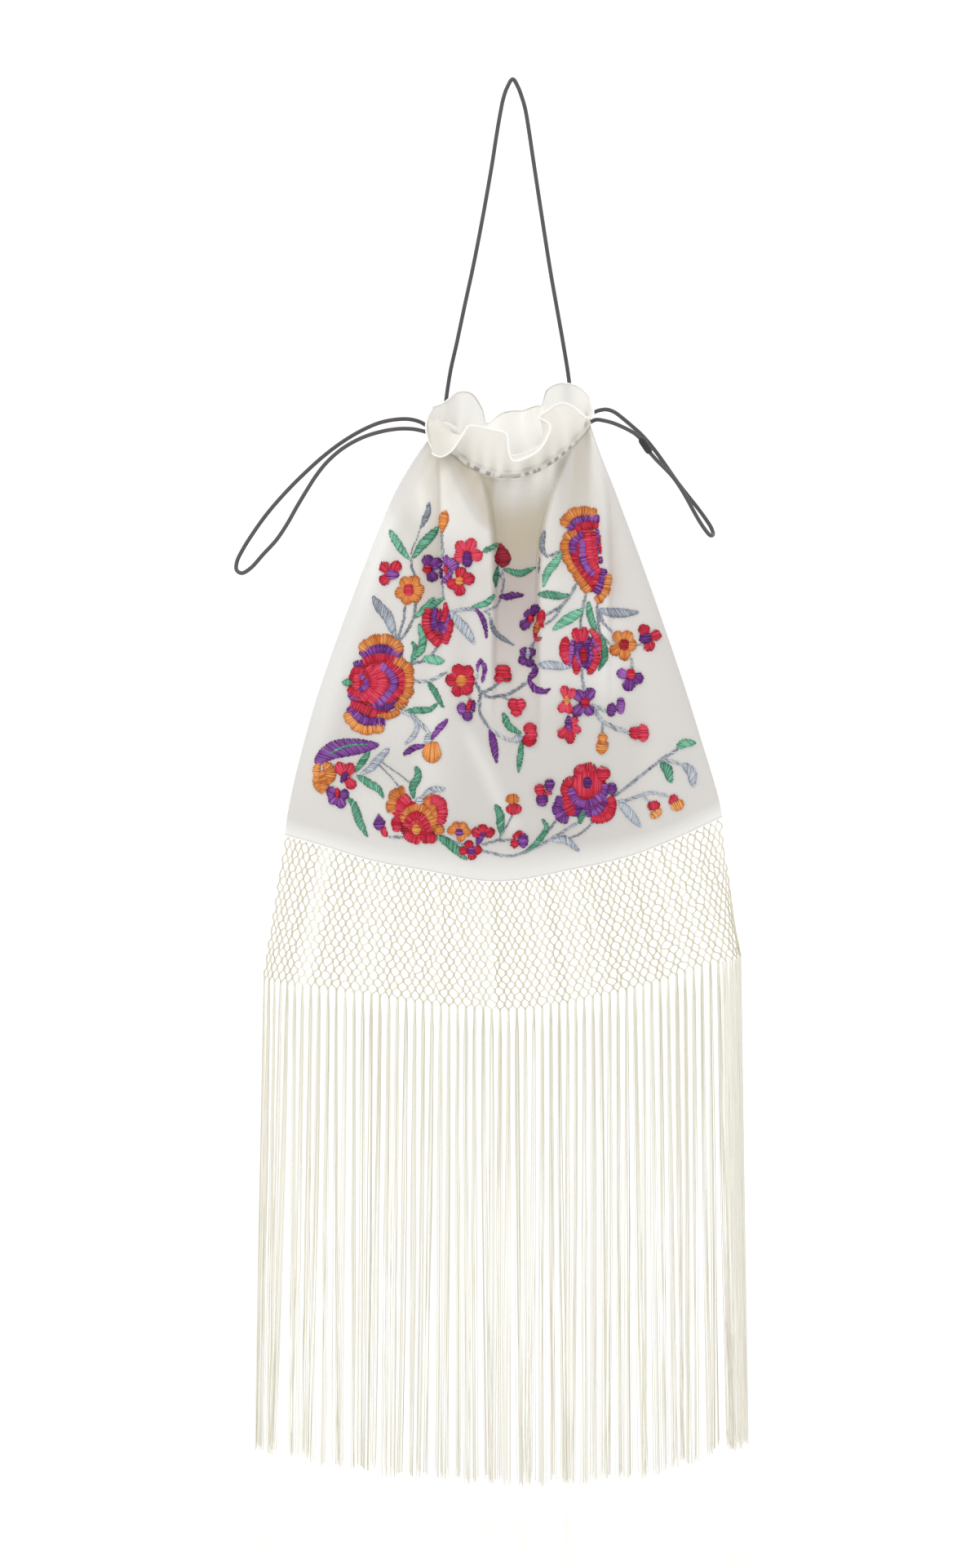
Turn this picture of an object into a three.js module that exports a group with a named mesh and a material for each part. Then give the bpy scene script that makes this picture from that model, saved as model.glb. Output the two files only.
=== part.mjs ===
// A silk drawstring evening bag with a ruffled mouth, a cord handle, and a knotted net and long
// silk fringe below its bottom seam. It is modelled as it hangs from its handle.
// Millimetres, +Z up, front towards -Y. The origin is the underside of the handle's top bend,
// where a hook or a finger carries the bag. A "drop" is a distance below that origin.
// A "turn" is an angle round the mouth in degrees: 0 is the front, 90 the right, 180 the back.

import * as THREE from "three";

// Driving dimensions
const CORD_DIAMETER = 2.1;
const GAP = 0.3;
const NECK_GAP = 0.95;
const NET_GAP = 0.6;
const CLOTH_WALL = 1.5;
const SIDE_WALL = 2.0;
const RUFFLE_WALL = 1.2;
const NET_WALL = 1.6;
const NECK_DROP = 182;
const NECK_FRONT_SAG = 23;
const NECK_BACK_SAG = 20;
const NECK_BACK_FROM = 0.45;
const NECK_TILT = 2;
const RUFFLE_FLATTENING = 0.22;
const RUFFLE_BENT = 0.6;
const CORNER_DROP = 390;
const SEAM_LAYER = 1.2;
const FRINGE_STRANDS = 56;
const FRINGE_HEAD = 3.2;
const FRINGE_SPREAD = 1.03;
const STRAND_SHARE = 0.56;

// Half the room that the drawcord takes between the panels and the ruffle.
const CORD_ROOM = CORD_DIAMETER / 2 + NECK_GAP;

// The pouch's cross-sections from the neck to the bottom corners.
const POUCH_SECTIONS = [
  { drop: 182, left: -41, right: 40, front: 24, back: 24 },
  { drop: 198, left: -52, right: 45.5, front: 27, back: 26 },
  { drop: 216, left: -62, right: 52.5, front: 29, back: 26 },
  { drop: 265, left: -81.7, right: 70.2, front: 29, back: 22 },
  { drop: 316, left: -100, right: 87.4, front: 24, back: 17 },
  { drop: 354, left: -110.6, right: 99, front: 15, back: 10 },
  { drop: 378, left: -115.8, right: 106, front: 6, back: 4.5 },
  { drop: 390, left: -117.4, right: 108.4, front: SEAM_LAYER, back: SEAM_LAYER },
];

// The bottom seam, which hangs lowest in the middle because the mouth gathers the sides upwards.
const SEAM = [
  { across: -117.4, drop: 394.6 },
  { across: -96, drop: 400.3 },
  { across: -72, drop: 407.2 },
  { across: -48, drop: 411.6 },
  { across: -8, drop: 417.9 },
  { across: 33, drop: 411.3 },
  { across: 60, drop: 404.9 },
  { across: 87, drop: 395.2 },
  { across: 108.4, drop: 385.8 },
];

// The lower edge of the knotted net, where each strand of the fringe begins.
const FRINGE_TOP = [
  { across: -129.4, drop: 472 },
  { across: -90, drop: 475.6 },
  { across: -42, drop: 482.7 },
  { across: 0, drop: 486 },
  { across: 34, drop: 481 },
  { across: 76, drop: 470.8 },
  { across: 101, drop: 462 },
  { across: 118.6, drop: 460 },
];

// The ends of the fringe.
const FRINGE_END = [
  { across: -134, drop: 716 },
  { across: -60, drop: 728 },
  { across: 20, drop: 733 },
  { across: 70, drop: 727 },
  { across: 122, drop: 714 },
];

// The net and fringe hang as one curtain. Seen from above it is straight in the middle and
// bends back at each end: a wide bend on the left and a tight one on the right.
const CURTAIN = {
  leftRadius: 46,
  leftBend: 48,
  rightRadius: 17,
  rightBend: 112,
  leftEnd: -129.4,
  rightEnd: 118.4,
};
const SEAM_BEND = { left: 5, right: 9, from: 0.55 };

// Folds that fall from the gathered neck. Each is an edge line on one panel: on its "side"
// (1 right, -1 left) the cloth drops back by "depth" over "edge", and comes forward again
// over "run". The line goes from topX to lowX, and the fold is deepest halfway down it.
const FRONT_FOLDS = [
  { topX: -37, lowX: -35, side: -1, depth: 5, edge: 5, run: 20, from: 0.0, to: 0.5 },
  { topX: -22, lowX: -7, side: 1, depth: 9, edge: 6, run: 24, from: 0.0, to: 0.62 },
  { topX: 27, lowX: 13, side: -1, depth: 9, edge: 6, run: 24, from: 0.0, to: 0.7 },
  { topX: 37, lowX: 52, side: 1, depth: 7, edge: 6, run: 26, from: 0.0, to: 0.62 },
];
const BACK_FOLDS = [
  { topX: -24, lowX: -34, side: 1, depth: 6, edge: 7, run: 30, from: 0.0, to: 0.6 },
  { topX: 8, lowX: 14, side: -1, depth: 7, edge: 7, run: 28, from: 0.0, to: 0.7 },
  { topX: 28, lowX: 44, side: 1, depth: 5, edge: 7, run: 26, from: 0.0, to: 0.55 },
];

// Small gathers just under the drawcord.
const GATHERS = { count: 12, height: 1.1, fade: 0.1 };

// The ruffle above the drawcord. At each turn a "length" of cloth rises from the neck, bends over
// by "bend" degrees in its lower part (RUFFLE_BENT of it) and goes straight on from there: a
// small bend stands up, a large one falls outwards over the neck. Its edge slides sideways by
// "slide". It is short at the sides, where the drawcord comes out.
const RUFFLE_WAVES = [
  { turn: -90, length: 9, bend: 10, slide: 0 },
  { turn: -82, length: 12, bend: 60, slide: 4 },
  { turn: -74, length: 19, bend: 156, slide: 3 },
  { turn: -66, length: 22.5, bend: 174, slide: 0.5 },
  { turn: -58, length: 23, bend: 176, slide: 1 },
  { turn: -50, length: 23, bend: 136, slide: 5 },
  { turn: -44, length: 22.5, bend: 92, slide: 6 },
  { turn: -38, length: 22, bend: 56, slide: 5 },
  { turn: -26, length: 23, bend: 38, slide: 2 },
  { turn: -14, length: 23.5, bend: 34, slide: 1 },
  { turn: -6, length: 23.5, bend: 42, slide: 2 },
  { turn: -2, length: 22.5, bend: 74, slide: 0 },
  { turn: 4, length: 21.5, bend: 96, slide: -2 },
  { turn: 9, length: 22, bend: 92, slide: 1 },
  { turn: 15, length: 22.5, bend: 76, slide: 4 },
  { turn: 20, length: 23.5, bend: 40, slide: 5 },
  { turn: 26, length: 22.5, bend: 12, slide: -4 },
  { turn: 32, length: 23, bend: 8, slide: -4 },
  { turn: 40, length: 23, bend: 6, slide: -3 },
  { turn: 50, length: 22, bend: 42, slide: -3 },
  { turn: 58, length: 19.5, bend: 80, slide: -1 },
  { turn: 66, length: 14, bend: 84, slide: 0 },
  { turn: 76, length: 9, bend: 46, slide: -1 },
  { turn: 86, length: 7.5, bend: 16, slide: -1 },
  { turn: 94, length: 7, bend: 8, slide: 0 },
  { turn: 104, length: 10.5, bend: 8, slide: 0 },
  { turn: 116, length: 13.5, bend: 6, slide: 0 },
  { turn: 128, length: 18, bend: 2, slide: -1 },
  { turn: 140, length: 23, bend: 4, slide: -2 },
  { turn: 149, length: 24, bend: 12, slide: -3 },
  { turn: 155, length: 20.5, bend: 30, slide: -2 },
  { turn: 163, length: 22, bend: 8, slide: 0 },
  { turn: 172, length: 23, bend: 24, slide: 0 },
  { turn: 182, length: 23, bend: 6, slide: 0 },
  { turn: 190, length: 21, bend: 34, slide: 0 },
  { turn: 198, length: 16.5, bend: 48, slide: 0 },
  { turn: 206, length: 19.5, bend: 26, slide: 3 },
  { turn: 215, length: 22.5, bend: 8, slide: 3 },
  { turn: 226, length: 19, bend: 4, slide: 2 },
  { turn: 240, length: 11, bend: 2, slide: 1 },
  { turn: 262, length: 9, bend: 6, slide: 0 },
];

// Cord routes, chosen by hand: each point is x, y, drop.
const LEFT_LOOP = [
  [-36.8, 9.46, 183.8],
  [-38.3, 7.7, 183.9],
  [-40.6, 6.5, 184.0],
  [-43.4, 6.0, 183.0],
  [-47.2, 5.6, 180.8],
  [-52.0, 5.2, 179.4],
  [-58.1, 4.6, 179.2],
  [-67.8, 3.0, 180.8],
  [-77.4, 1.8, 184.8],
  [-87.1, 0.8, 190.5],
  [-96.7, 0.2, 197.7],
  [-106.3, -0.4, 206.3],
  [-116.0, -1.0, 216.0],
  [-125.6, -1.6, 227.0],
  [-132.6, -2.2, 236.6],
  [-138.2, -3.0, 245.4],
  [-141.2, -4.2, 251.6],
  [-141.4, -6.6, 255.6],
  [-138.6, -9.2, 257.0],
  [-134.2, -10.2, 254.4],
  [-127.6, -10.0, 247.2],
  [-120.8, -9.4, 239.8],
  [-115.4, -8.8, 231.8],
  [-110.4, -8.2, 223.0],
  [-105.6, -7.8, 215.0],
  [-100.6, -7.4, 207.2],
  [-95.0, -7.0, 200.2],
  [-87.0, -6.8, 193.2],
  [-77.4, -6.7, 187.8],
  [-67.8, -6.8, 184.6],
  [-58.1, -7.0, 183.0],
  [-50.4, -6.9, 183.2],
  [-45.0, -6.8, 184.4],
  [-41.4, -6.7, 185.3],
  [-38.5, -7.8, 186.1],
  [-36.8, -9.46, 187.6],
];
const RIGHT_LOOP = [
  [35.8, 9.46, 180.2],
  [37.3, 7.8, 180.1],
  [39.6, 6.7, 180.0],
  [42.4, 6.6, 178.6],
  [45.2, 6.8, 175.8],
  [48.6, 7.0, 174.6],
  [52.2, 7.0, 175.8],
  [55.8, 6.8, 178.4],
  [60.6, 6.6, 182.4],
  [65.6, 6.0, 186.8],
  [70.2, 5.2, 191.8],
  [74.9, 4.2, 197.8],
  [79.3, 3.2, 204.0],
  [84.6, 2.6, 211.4],
  [90.2, 2.4, 218.8],
  [95.6, 2.4, 225.6],
  [100.2, 2.2, 231.8],
  [103.6, 1.2, 237.0],
  [104.8, -1.6, 240.4],
  [103.2, -5.0, 240.6],
  [99.6, -6.6, 236.2],
  [95.4, -6.8, 229.4],
  [91.4, -6.6, 222.4],
  [87.0, -6.0, 215.0],
  [82.4, -5.2, 208.4],
  [77.4, -4.6, 203.0],
  [73.6, -4.6, 199.2],
  [70.4, -4.6, 195.6],
];
const RIGHT_END = [
  [65.4, -4.6, 188.2],
  [62.4, -4.7, 185.6],
  [57.0, -5.2, 182.6],
  [51.0, -6.2, 180.0],
  [46.0, -6.8, 179.4],
  [42.4, -6.7, 180.2],
  [39.8, -6.7, 181.5],
  [37.4, -7.8, 182.3],
  [35.8, -9.46, 184.0],
];
const HANDLE = [
  [-35.2, 17.6, 192.0],
  [-35.0, 18.6, 182.0],
  [-34.4, 18.6, 172.0],
  [-31.9, 17.2, 154.6],
  [-28.6, 14.6, 139.4],
  [-24.4, 11.4, 119.0],
  [-20.2, 8.6, 99.2],
  [-15.3, 5.8, 73.4],
  [-10.5, 3.4, 45.4],
  [-8.4, 2.4, 31.4],
  [-6.4, 1.4, 19.2],
  [-4.6, 0.7, 9.6],
  [-3.0, 0.3, 3.4],
  [0, 0, -CORD_DIAMETER / 2],
  [3.0, 0.3, 3.4],
  [4.8, 0.7, 9.6],
  [6.3, 1.4, 16.0],
  [8.2, 2.4, 27.2],
  [10.2, 3.8, 41.0],
  [14.7, 7.0, 71.2],
  [19.5, 10.8, 102.4],
  [22.7, 13.6, 120.8],
  [25.9, 16.6, 139.2],
  [28.6, 19.0, 156.0],
  [30.2, 20.0, 170.0],
  [31.0, 20.2, 182.0],
  [31.4, 19.6, 192.0],
];
// Between the loops the drawcord runs inside the gathered neck, round the front and the back.
const RUN_TURNS = { front: [-65.2, 65.2], back: [114.8, 245.2], points: 15 };
const CORD_STEP = 6.2;
const CORD_SIDES = 8;

// The bound splice that joins the drawcord's two ends, on the right loop.
const SPLICE = { length: 8.0, radius: 1.9, waist: 1.4, shoulder: 1.2, sides: 10 };

// Mesh densities
const FRONT_GRID = { columns: 40, rows: 11 };
const BACK_GRID = { columns: 21, rows: 8 };
const RUFFLE_GRID = { columns: 73, rows: 5 };
const NET_GRID = { columns: 16, rows: 7, opening: 0.8 };

// Colours
const SILK = 0xf3efe6;
const FRINGE_SILK = 0xf4efdf;
const CORD_GREY = 0x3c393a;
const SPLICE_BLACK = 0x1e1c1d;

const radians = THREE.MathUtils.degToRad;
const lerp = THREE.MathUtils.lerp;
const smooth = (value) => THREE.MathUtils.smoothstep(value, 0, 1);

// A smooth value of one column of a table, read at a place along another column.
function readTable(rows, key, column, place) {
  const last = rows.length - 1;
  const at = THREE.MathUtils.clamp(place, rows[0][key], rows[last][key]);
  let i = 0;
  while (i < last - 1 && at > rows[i + 1][key]) i += 1;
  const slope = (k) => {
    const a = rows[Math.max(k - 1, 0)];
    const b = rows[Math.min(k + 1, last)];
    return (b[column] - a[column]) / (b[key] - a[key]);
  };
  const span = rows[i + 1][key] - rows[i][key];
  const t = (at - rows[i][key]) / span;
  const rise = t * t * (3 - 2 * t);
  const out = t * (1 - t) * (1 - t) * span * slope(i);
  const into = t * t * (t - 1) * span * slope(i + 1);
  return lerp(rows[i][column], rows[i + 1][column], rise) + out + into;
}

// How far below the origin the drawcord's line is, at a turn round the mouth.
// It dips at the front, and also where the mouth faces back by more than NECK_BACK_FROM.
function neckDrop(turn) {
  const facing = Math.cos(radians(turn));
  const front = Math.max(facing, 0);
  const back = Math.max((-facing - NECK_BACK_FROM) / (1 - NECK_BACK_FROM), 0);
  const sag = NECK_FRONT_SAG * front * front + NECK_BACK_SAG * back * back;
  return NECK_DROP + sag - NECK_TILT * Math.sin(radians(turn));
}

// A point of the neck's oval at a turn, moved in from the cloth's outer face by inset.
function neckPoint(turn, inset) {
  const top = POUCH_SECTIONS[0];
  const half = (top.right - top.left) / 2 - inset;
  const across = (top.left + top.right) / 2 + half * Math.sin(radians(turn));
  const away = -(top.front - inset) * Math.cos(radians(turn));
  return new THREE.Vector3(across, away, -neckDrop(turn));
}

// How far the cloth of a panel drops back at a place, from the folds in its table.
function foldDepth(folds, across, down) {
  let depth = 0;
  for (const fold of folds) {
    const share = (down - fold.from) / (fold.to - fold.from);
    if (share <= 0 || share >= 1) continue;
    const past = (across - lerp(fold.topX, fold.lowX, share)) * fold.side;
    const swell = Math.sin(Math.PI * Math.sqrt(share));
    const ease = Math.exp(-((Math.max(past, 0) / fold.run) ** 2));
    depth += fold.depth * swell * smooth(past / fold.edge + 0.5) * ease;
  }
  return depth;
}

// How far the bottom corners bend back, at a share of the way across from -1 to 1.
function seamBend(share) {
  const reach = smooth((Math.abs(share) - SEAM_BEND.from) / (1 - SEAM_BEND.from));
  return reach * (share < 0 ? SEAM_BEND.left : SEAM_BEND.right);
}

// A point of a panel. "facing" is -1 on the front and 1 on the back; "share" goes from -1 at the
// left seam to 1 at the right one; "down" goes from 0 at the neck to 1 at the bottom seam.
function panelPoint(facing, folds, share, down, inside) {
  const turn = share * 90;
  const [sine, round] = [Math.sin(radians(turn)), Math.cos(radians(turn))];
  const place = lerp(NECK_DROP, CORNER_DROP, down);
  const left = readTable(POUCH_SECTIONS, "drop", "left", place);
  const right = readTable(POUCH_SECTIONS, "drop", "right", place);
  const swell = readTable(POUCH_SECTIONS, "drop", facing < 0 ? "front" : "back", place);
  const half = (right - left) / 2 - (inside ? SIDE_WALL : 0);
  const depth = inside ? Math.max(swell - CLOTH_WALL, 0) : swell;
  const across = (left + right) / 2 + half * sine;
  const gather = Math.cos(Math.PI * GATHERS.count * (share + 1));
  const ripple = GATHERS.height * gather * Math.exp(-down / GATHERS.fade);
  const recess = (foldDepth(folds, across, down) + ripple) * round * smooth(swell / 14);
  const away = facing * (GAP / 2 + depth * round - recess) + seamBend(sine) * down ** 3;
  const seamX = lerp(SEAM[0].across, SEAM.at(-1).across, (sine + 1) / 2);
  const top = neckDrop(facing < 0 ? turn : 180 - turn) + CORD_ROOM;
  return new THREE.Vector3(across, away, -lerp(top, readTable(SEAM, "across", "drop", seamX), down));
}

// A closed slab from flat triangles. "place" puts a flat point on the slab's outer face (-1) or
// its inner face (1), and every edge that belongs to one triangle only gets a wall.
function slabGeometry(triangles, place) {
  const positions = [];
  const edges = new Map();
  const push = (side, ...corners) => {
    for (const corner of corners) positions.push(...place(...corner, side).toArray());
  };
  for (const [a, b, c] of triangles) {
    push(-1, a, b, c);
    push(1, a, c, b);
    for (const [from, to] of [[a, b], [b, c], [c, a]]) {
      const back = `${to}|${from}`;
      if (edges.has(back)) edges.delete(back);
      else edges.set(`${from}|${to}`, [from, to]);
    }
  }
  for (const [from, to] of edges.values()) {
    push(-1, to, from);
    push(1, from);
    push(-1, to);
    push(1, from, to);
  }
  const geometry = new THREE.BufferGeometry();
  return geometry.setAttribute("position", new THREE.Float32BufferAttribute(positions, 3));
}

// The flat triangles of a grid of columns and rows. A ring joins its last column to its first.
function gridTriangles({ columns, rows }, ring) {
  const triangles = [];
  for (let row = 0; row < rows; row += 1) {
    for (let column = 0; column < columns; column += 1) {
      const next = ring ? (column + 1) % columns : column + 1;
      const [a, b, c, d] = [[column, row], [column, row + 1], [next, row + 1], [next, row]];
      triangles.push([a, b, c], [a, c, d]);
    }
  }
  return triangles;
}

// One of the two silk panels. The back one runs the other way across, so that it faces out.
function panelGeometry(facing, folds, grid) {
  const place = (column, row, side) => {
    const share = -facing * ((2 * column) / grid.columns - 1);
    return panelPoint(facing, folds, share, row / grid.rows, side > 0);
  };
  return slabGeometry(gridTriangles(grid, false), place);
}

// The ruffle's table with rows repeated at both ends, so that it can be read all the way round.
const ruffleRing = [
  { ...RUFFLE_WAVES.at(-1), turn: RUFFLE_WAVES.at(-1).turn - 360 },
  ...RUFFLE_WAVES,
  ...RUFFLE_WAVES.slice(0, 2).map((row) => ({ ...row, turn: row.turn + 360 })),
];

// One column of the ruffle's table at a turn.
function ruffleWave(turn, column) {
  const first = RUFFLE_WAVES[0].turn;
  const at = first + THREE.MathUtils.euclideanModulo(turn - first, 360);
  return readTable(ruffleRing, "turn", column, at);
}

// A point of the ruffle's middle surface. The cloth falls away from the neck more to the front and
// back than to the sides.
function rufflePoint(turn, up) {
  const point = neckPoint(turn, RUFFLE_WALL / 2);
  const [sine, cosine] = [Math.sin(radians(turn)), Math.cos(radians(turn))];
  const length = ruffleWave(turn, "length");
  const bend = radians(ruffleWave(turn, "bend")) || 1e-4;
  const radius = (RUFFLE_BENT * length) / bend;
  const angle = bend * Math.min(up / RUFFLE_BENT, 1);
  const past = length * Math.max(up - RUFFLE_BENT, 0);
  const reach = radius * (1 - Math.cos(angle)) + past * Math.sin(bend);
  const rise = CORD_ROOM + radius * Math.sin(angle) + past * Math.cos(bend);
  const outward = new THREE.Vector3(RUFFLE_FLATTENING * sine, -cosine, 0).normalize();
  const slide = new THREE.Vector3(ruffleWave(turn, "slide") * up * up, 0, rise);
  return point.addScaledVector(outward, reach).add(slide);
}

// The ruffle's wall. Its columns stand closer together at the front, where the waves are narrow.
function ruffleGeometry() {
  const { columns, rows } = RUFFLE_GRID;
  const place = (column, row, side) => {
    const turn = (360 * column) / columns - 22 * Math.sin((2 * Math.PI * column) / columns);
    const up = 1 - row / rows;
    const along = rufflePoint(turn + 2, up).sub(rufflePoint(turn - 2, up));
    const climb = rufflePoint(turn, up + 0.02).sub(rufflePoint(turn, Math.max(up - 0.02, 0)));
    if (row === rows) along.setZ(0);
    if (row === rows) climb.set(0, 0, 1);
    const normal = along.cross(climb).normalize();
    return rufflePoint(turn, up).addScaledVector(normal, (-side * RUFFLE_WALL) / 2);
  };
  return slabGeometry(gridTriangles(RUFFLE_GRID, true), place);
}

// A place along the curtain seen from above, from 0 at its left end to 1 at its right end.
function curtainPlan(share) {
  const { leftRadius, leftBend, rightRadius, rightBend, leftEnd, rightEnd } = CURTAIN;
  const leftArc = leftRadius * radians(leftBend);
  const rightArc = rightRadius * radians(rightBend);
  const straightFrom = leftEnd + leftRadius * Math.sin(radians(leftBend));
  const straight = rightEnd - rightRadius - straightFrom;
  const along = share * (leftArc + straight + rightArc);
  const past = along - leftArc;
  const angle = Math.min(past / leftRadius, 0) + Math.max((past - straight) / rightRadius, 0);
  const radius = angle < 0 ? leftRadius : rightRadius;
  const across = straightFrom + THREE.MathUtils.clamp(past, 0, straight) + radius * Math.sin(angle);
  return { across, away: radius * (1 - Math.cos(angle)), angle };
}

// A point of the curtain between the bottom seam (down 0) and the net's lower edge (down 1), on
// the front (side -1) or the back (side 1) of its wall.
function netPoint(share, down, side) {
  const plan = curtainPlan(share);
  const seamX = lerp(SEAM[0].across + 0.6, SEAM.at(-1).across - 0.6, share);
  const seamDrop = readTable(SEAM, "across", "drop", seamX) + NET_GAP;
  const lowDrop = readTable(FRINGE_TOP, "across", "drop", plan.across) - NET_GAP;
  const half = (side * NET_WALL) / 2;
  const across = lerp(seamX, plan.across, down) - half * Math.sin(plan.angle * down);
  const away = lerp(seamBend(2 * share - 1), plan.away, down) + half * Math.cos(plan.angle * down);
  return new THREE.Vector3(across, away, -lerp(seamDrop, lowDrop, down));
}

// The knotted net as a sheet of diamond meshes, each cut right through. The diamonds stand in
// rows staggered by half a mesh, and the half meshes round the border are left whole.
function netGeometry() {
  const { columns, rows, opening } = NET_GRID;
  const low = rows + 1;
  const triangles = [];
  for (let row = 1; row <= rows; row += 1) {
    const odd = row % 2 === 1;
    for (let s = odd ? 0.5 : 1; s < columns; s += 1) {
      const tips = [[s, row - 1], [s - 0.5, row], [s, row + 1], [s + 0.5, row]];
      const holes = tips.map(([x, y]) => [lerp(s, x, opening), lerp(row, y, opening)]);
      for (let k = 0; k < 4; k += 1) {
        const n = (k + 1) % 4;
        triangles.push([tips[k], tips[n], holes[n]], [tips[k], holes[n], holes[k]]);
      }
    }
    if (odd) continue;
    triangles.push([[0, row - 1], [0, row + 1], [0.5, row]]);
    triangles.push([[columns - 0.5, row], [columns, row + 1], [columns, row - 1]]);
  }
  for (let s = 1; s < columns; s += 1) {
    triangles.push([[s - 0.5, 0], [s, 1], [s + 0.5, 0]]);
    triangles.push([[s - 0.5, low], [s + 0.5, low], [s, rows]]);
  }
  triangles.push([[0, 0], [0, 1], [0.5, 0]]);
  triangles.push([[columns - 0.5, 0], [columns, 1], [columns, 0]]);
  triangles.push([[0, rows], [0, low], [0.5, low]]);
  triangles.push([[columns - 0.5, low], [columns, low], [columns, rows]]);
  return slabGeometry(triangles, (s, d, side) => netPoint(s / columns, d / low, side));
}

// The fringe: a knotted head along the net's lower edge, with a row of silk locks hanging from
// it. The locks spread a little as they fall, and their ends are uneven.
function fringeGeometry() {
  const triangles = [];
  const quad = (left, right, top) => {
    const [a, b, c, d] = [[left, top], [left, top + 1], [right, top + 1], [right, top]];
    triangles.push([a, b, c], [a, c, d]);
  };
  for (let strand = 0; strand < FRINGE_STRANDS; strand += 1) {
    const to = strand + STRAND_SHARE;
    for (const level of [0, 1, 2]) quad(strand, to, level);
    if (strand < FRINGE_STRANDS - 1) quad(to, strand + 1, 0);
  }
  const span = FRINGE_STRANDS - 1 + STRAND_SHARE;
  const place = (s, level, side) => {
    const plan = curtainPlan(s / span);
    const strand = Math.floor(s + 1e-6);
    const uneven = 3.5 * Math.sin(strand * 2.4) + 2.5 * Math.sin(strand * 5.1 + 1);
    const top = readTable(FRINGE_TOP, "across", "drop", plan.across) + NET_GAP / 2;
    const end = readTable(FRINGE_END, "across", "drop", plan.across * FRINGE_SPREAD) + uneven;
    const drop = [top, top + FRINGE_HEAD, lerp(top, end, 0.5), end][level];
    const spread = lerp(1, FRINGE_SPREAD, (drop - top) / (end - top));
    const half = (side * NET_WALL) / 2;
    const across = plan.across * spread - half * Math.sin(plan.angle);
    return new THREE.Vector3(across, plan.away + half * Math.cos(plan.angle), -drop);
  };
  return slabGeometry(triangles, place);
}

// A round cord along a route.
function cordGeometry(points) {
  const path = new THREE.CatmullRomCurve3(points);
  const section = new THREE.Shape();
  for (let side = 0; side < CORD_SIDES; side += 1) {
    const angle = (2 * Math.PI * side) / CORD_SIDES;
    const [x, y] = [Math.cos(angle), Math.sin(angle)].map((value) => (value * CORD_DIAMETER) / 2);
    if (side) section.lineTo(x, y);
    else section.moveTo(x, y);
  }
  const steps = Math.ceil(path.getLength() / CORD_STEP);
  return new THREE.ExtrudeGeometry(section, { steps, extrudePath: path, bevelEnabled: false });
}

const routePoints = (route) => route.map(([x, y, drop]) => new THREE.Vector3(x, y, -drop));

// The part of the drawcord that runs inside the neck between two turns.
function runPoints([from, to]) {
  const last = RUN_TURNS.points - 1;
  const turns = Array.from({ length: RUN_TURNS.points }, (_, i) => lerp(from, to, i / last));
  return turns.map((turn) => neckPoint(turn, CLOTH_WALL / 2));
}

// The splice: a turned barrel between the cord's two ends.
function spliceGeometry() {
  const { length, radius, waist, shoulder, sides } = SPLICE;
  const half = length / 2;
  const profile = [[0, -half], [waist, -half], [radius, shoulder - half], [radius, half - shoulder]];
  profile.push([waist, half], [0, half]);
  const geometry = new THREE.LatheGeometry(profile.map(([x, y]) => new THREE.Vector2(x, y)), sides);
  const [start, end] = routePoints([RIGHT_END[0], RIGHT_LOOP.at(-1)]);
  const direction = end.clone().sub(start).normalize();
  const turn = new THREE.Quaternion().setFromUnitVectors(new THREE.Vector3(0, 1, 0), direction);
  const middle = start.add(end).multiplyScalar(0.5);
  return geometry.applyQuaternion(turn).translate(middle.x, middle.y, middle.z);
}

const MATERIALS = {
  silk: new THREE.MeshStandardMaterial({ color: SILK, roughness: 0.5, metalness: 0 }),
  fringe_silk: new THREE.MeshStandardMaterial({ color: FRINGE_SILK, roughness: 0.45, metalness: 0 }),
  cord: new THREE.MeshStandardMaterial({ color: CORD_GREY, roughness: 0.7, metalness: 0 }),
  splice: new THREE.MeshStandardMaterial({ color: SPLICE_BLACK, roughness: 0.6, metalness: 0 }),
};
for (const [name, material] of Object.entries(MATERIALS)) material.name = name;

const bag = new THREE.Group();
bag.name = "fringed_drawstring_bag";

function add(name, geometry, material) {
  const mesh = new THREE.Mesh(geometry, material);
  mesh.name = name;
  bag.add(mesh);
}

add("front_panel", panelGeometry(-1, FRONT_FOLDS, FRONT_GRID), MATERIALS.silk);
add("back_panel", panelGeometry(1, BACK_FOLDS, BACK_GRID), MATERIALS.silk);
add("ruffle", ruffleGeometry(), MATERIALS.silk);
add("drawcord_front", cordGeometry(runPoints(RUN_TURNS.front)), MATERIALS.cord);
add("drawcord_back", cordGeometry(runPoints(RUN_TURNS.back)), MATERIALS.cord);
add("drawcord_left_loop", cordGeometry(routePoints(LEFT_LOOP)), MATERIALS.cord);
add("drawcord_right_loop", cordGeometry(routePoints(RIGHT_LOOP)), MATERIALS.cord);
add("drawcord_right_end", cordGeometry(routePoints(RIGHT_END)), MATERIALS.cord);
add("cord_splice", spliceGeometry(), MATERIALS.splice);
add("handle_cord", cordGeometry(routePoints(HANDLE)), MATERIALS.cord);
add("net", netGeometry(), MATERIALS.fringe_silk);
add("fringe", fringeGeometry(), MATERIALS.fringe_silk);

export default bag;
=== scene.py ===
import math

import bpy
import numpy as np
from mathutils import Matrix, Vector
from mathutils.bvhtree import BVHTree


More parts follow.
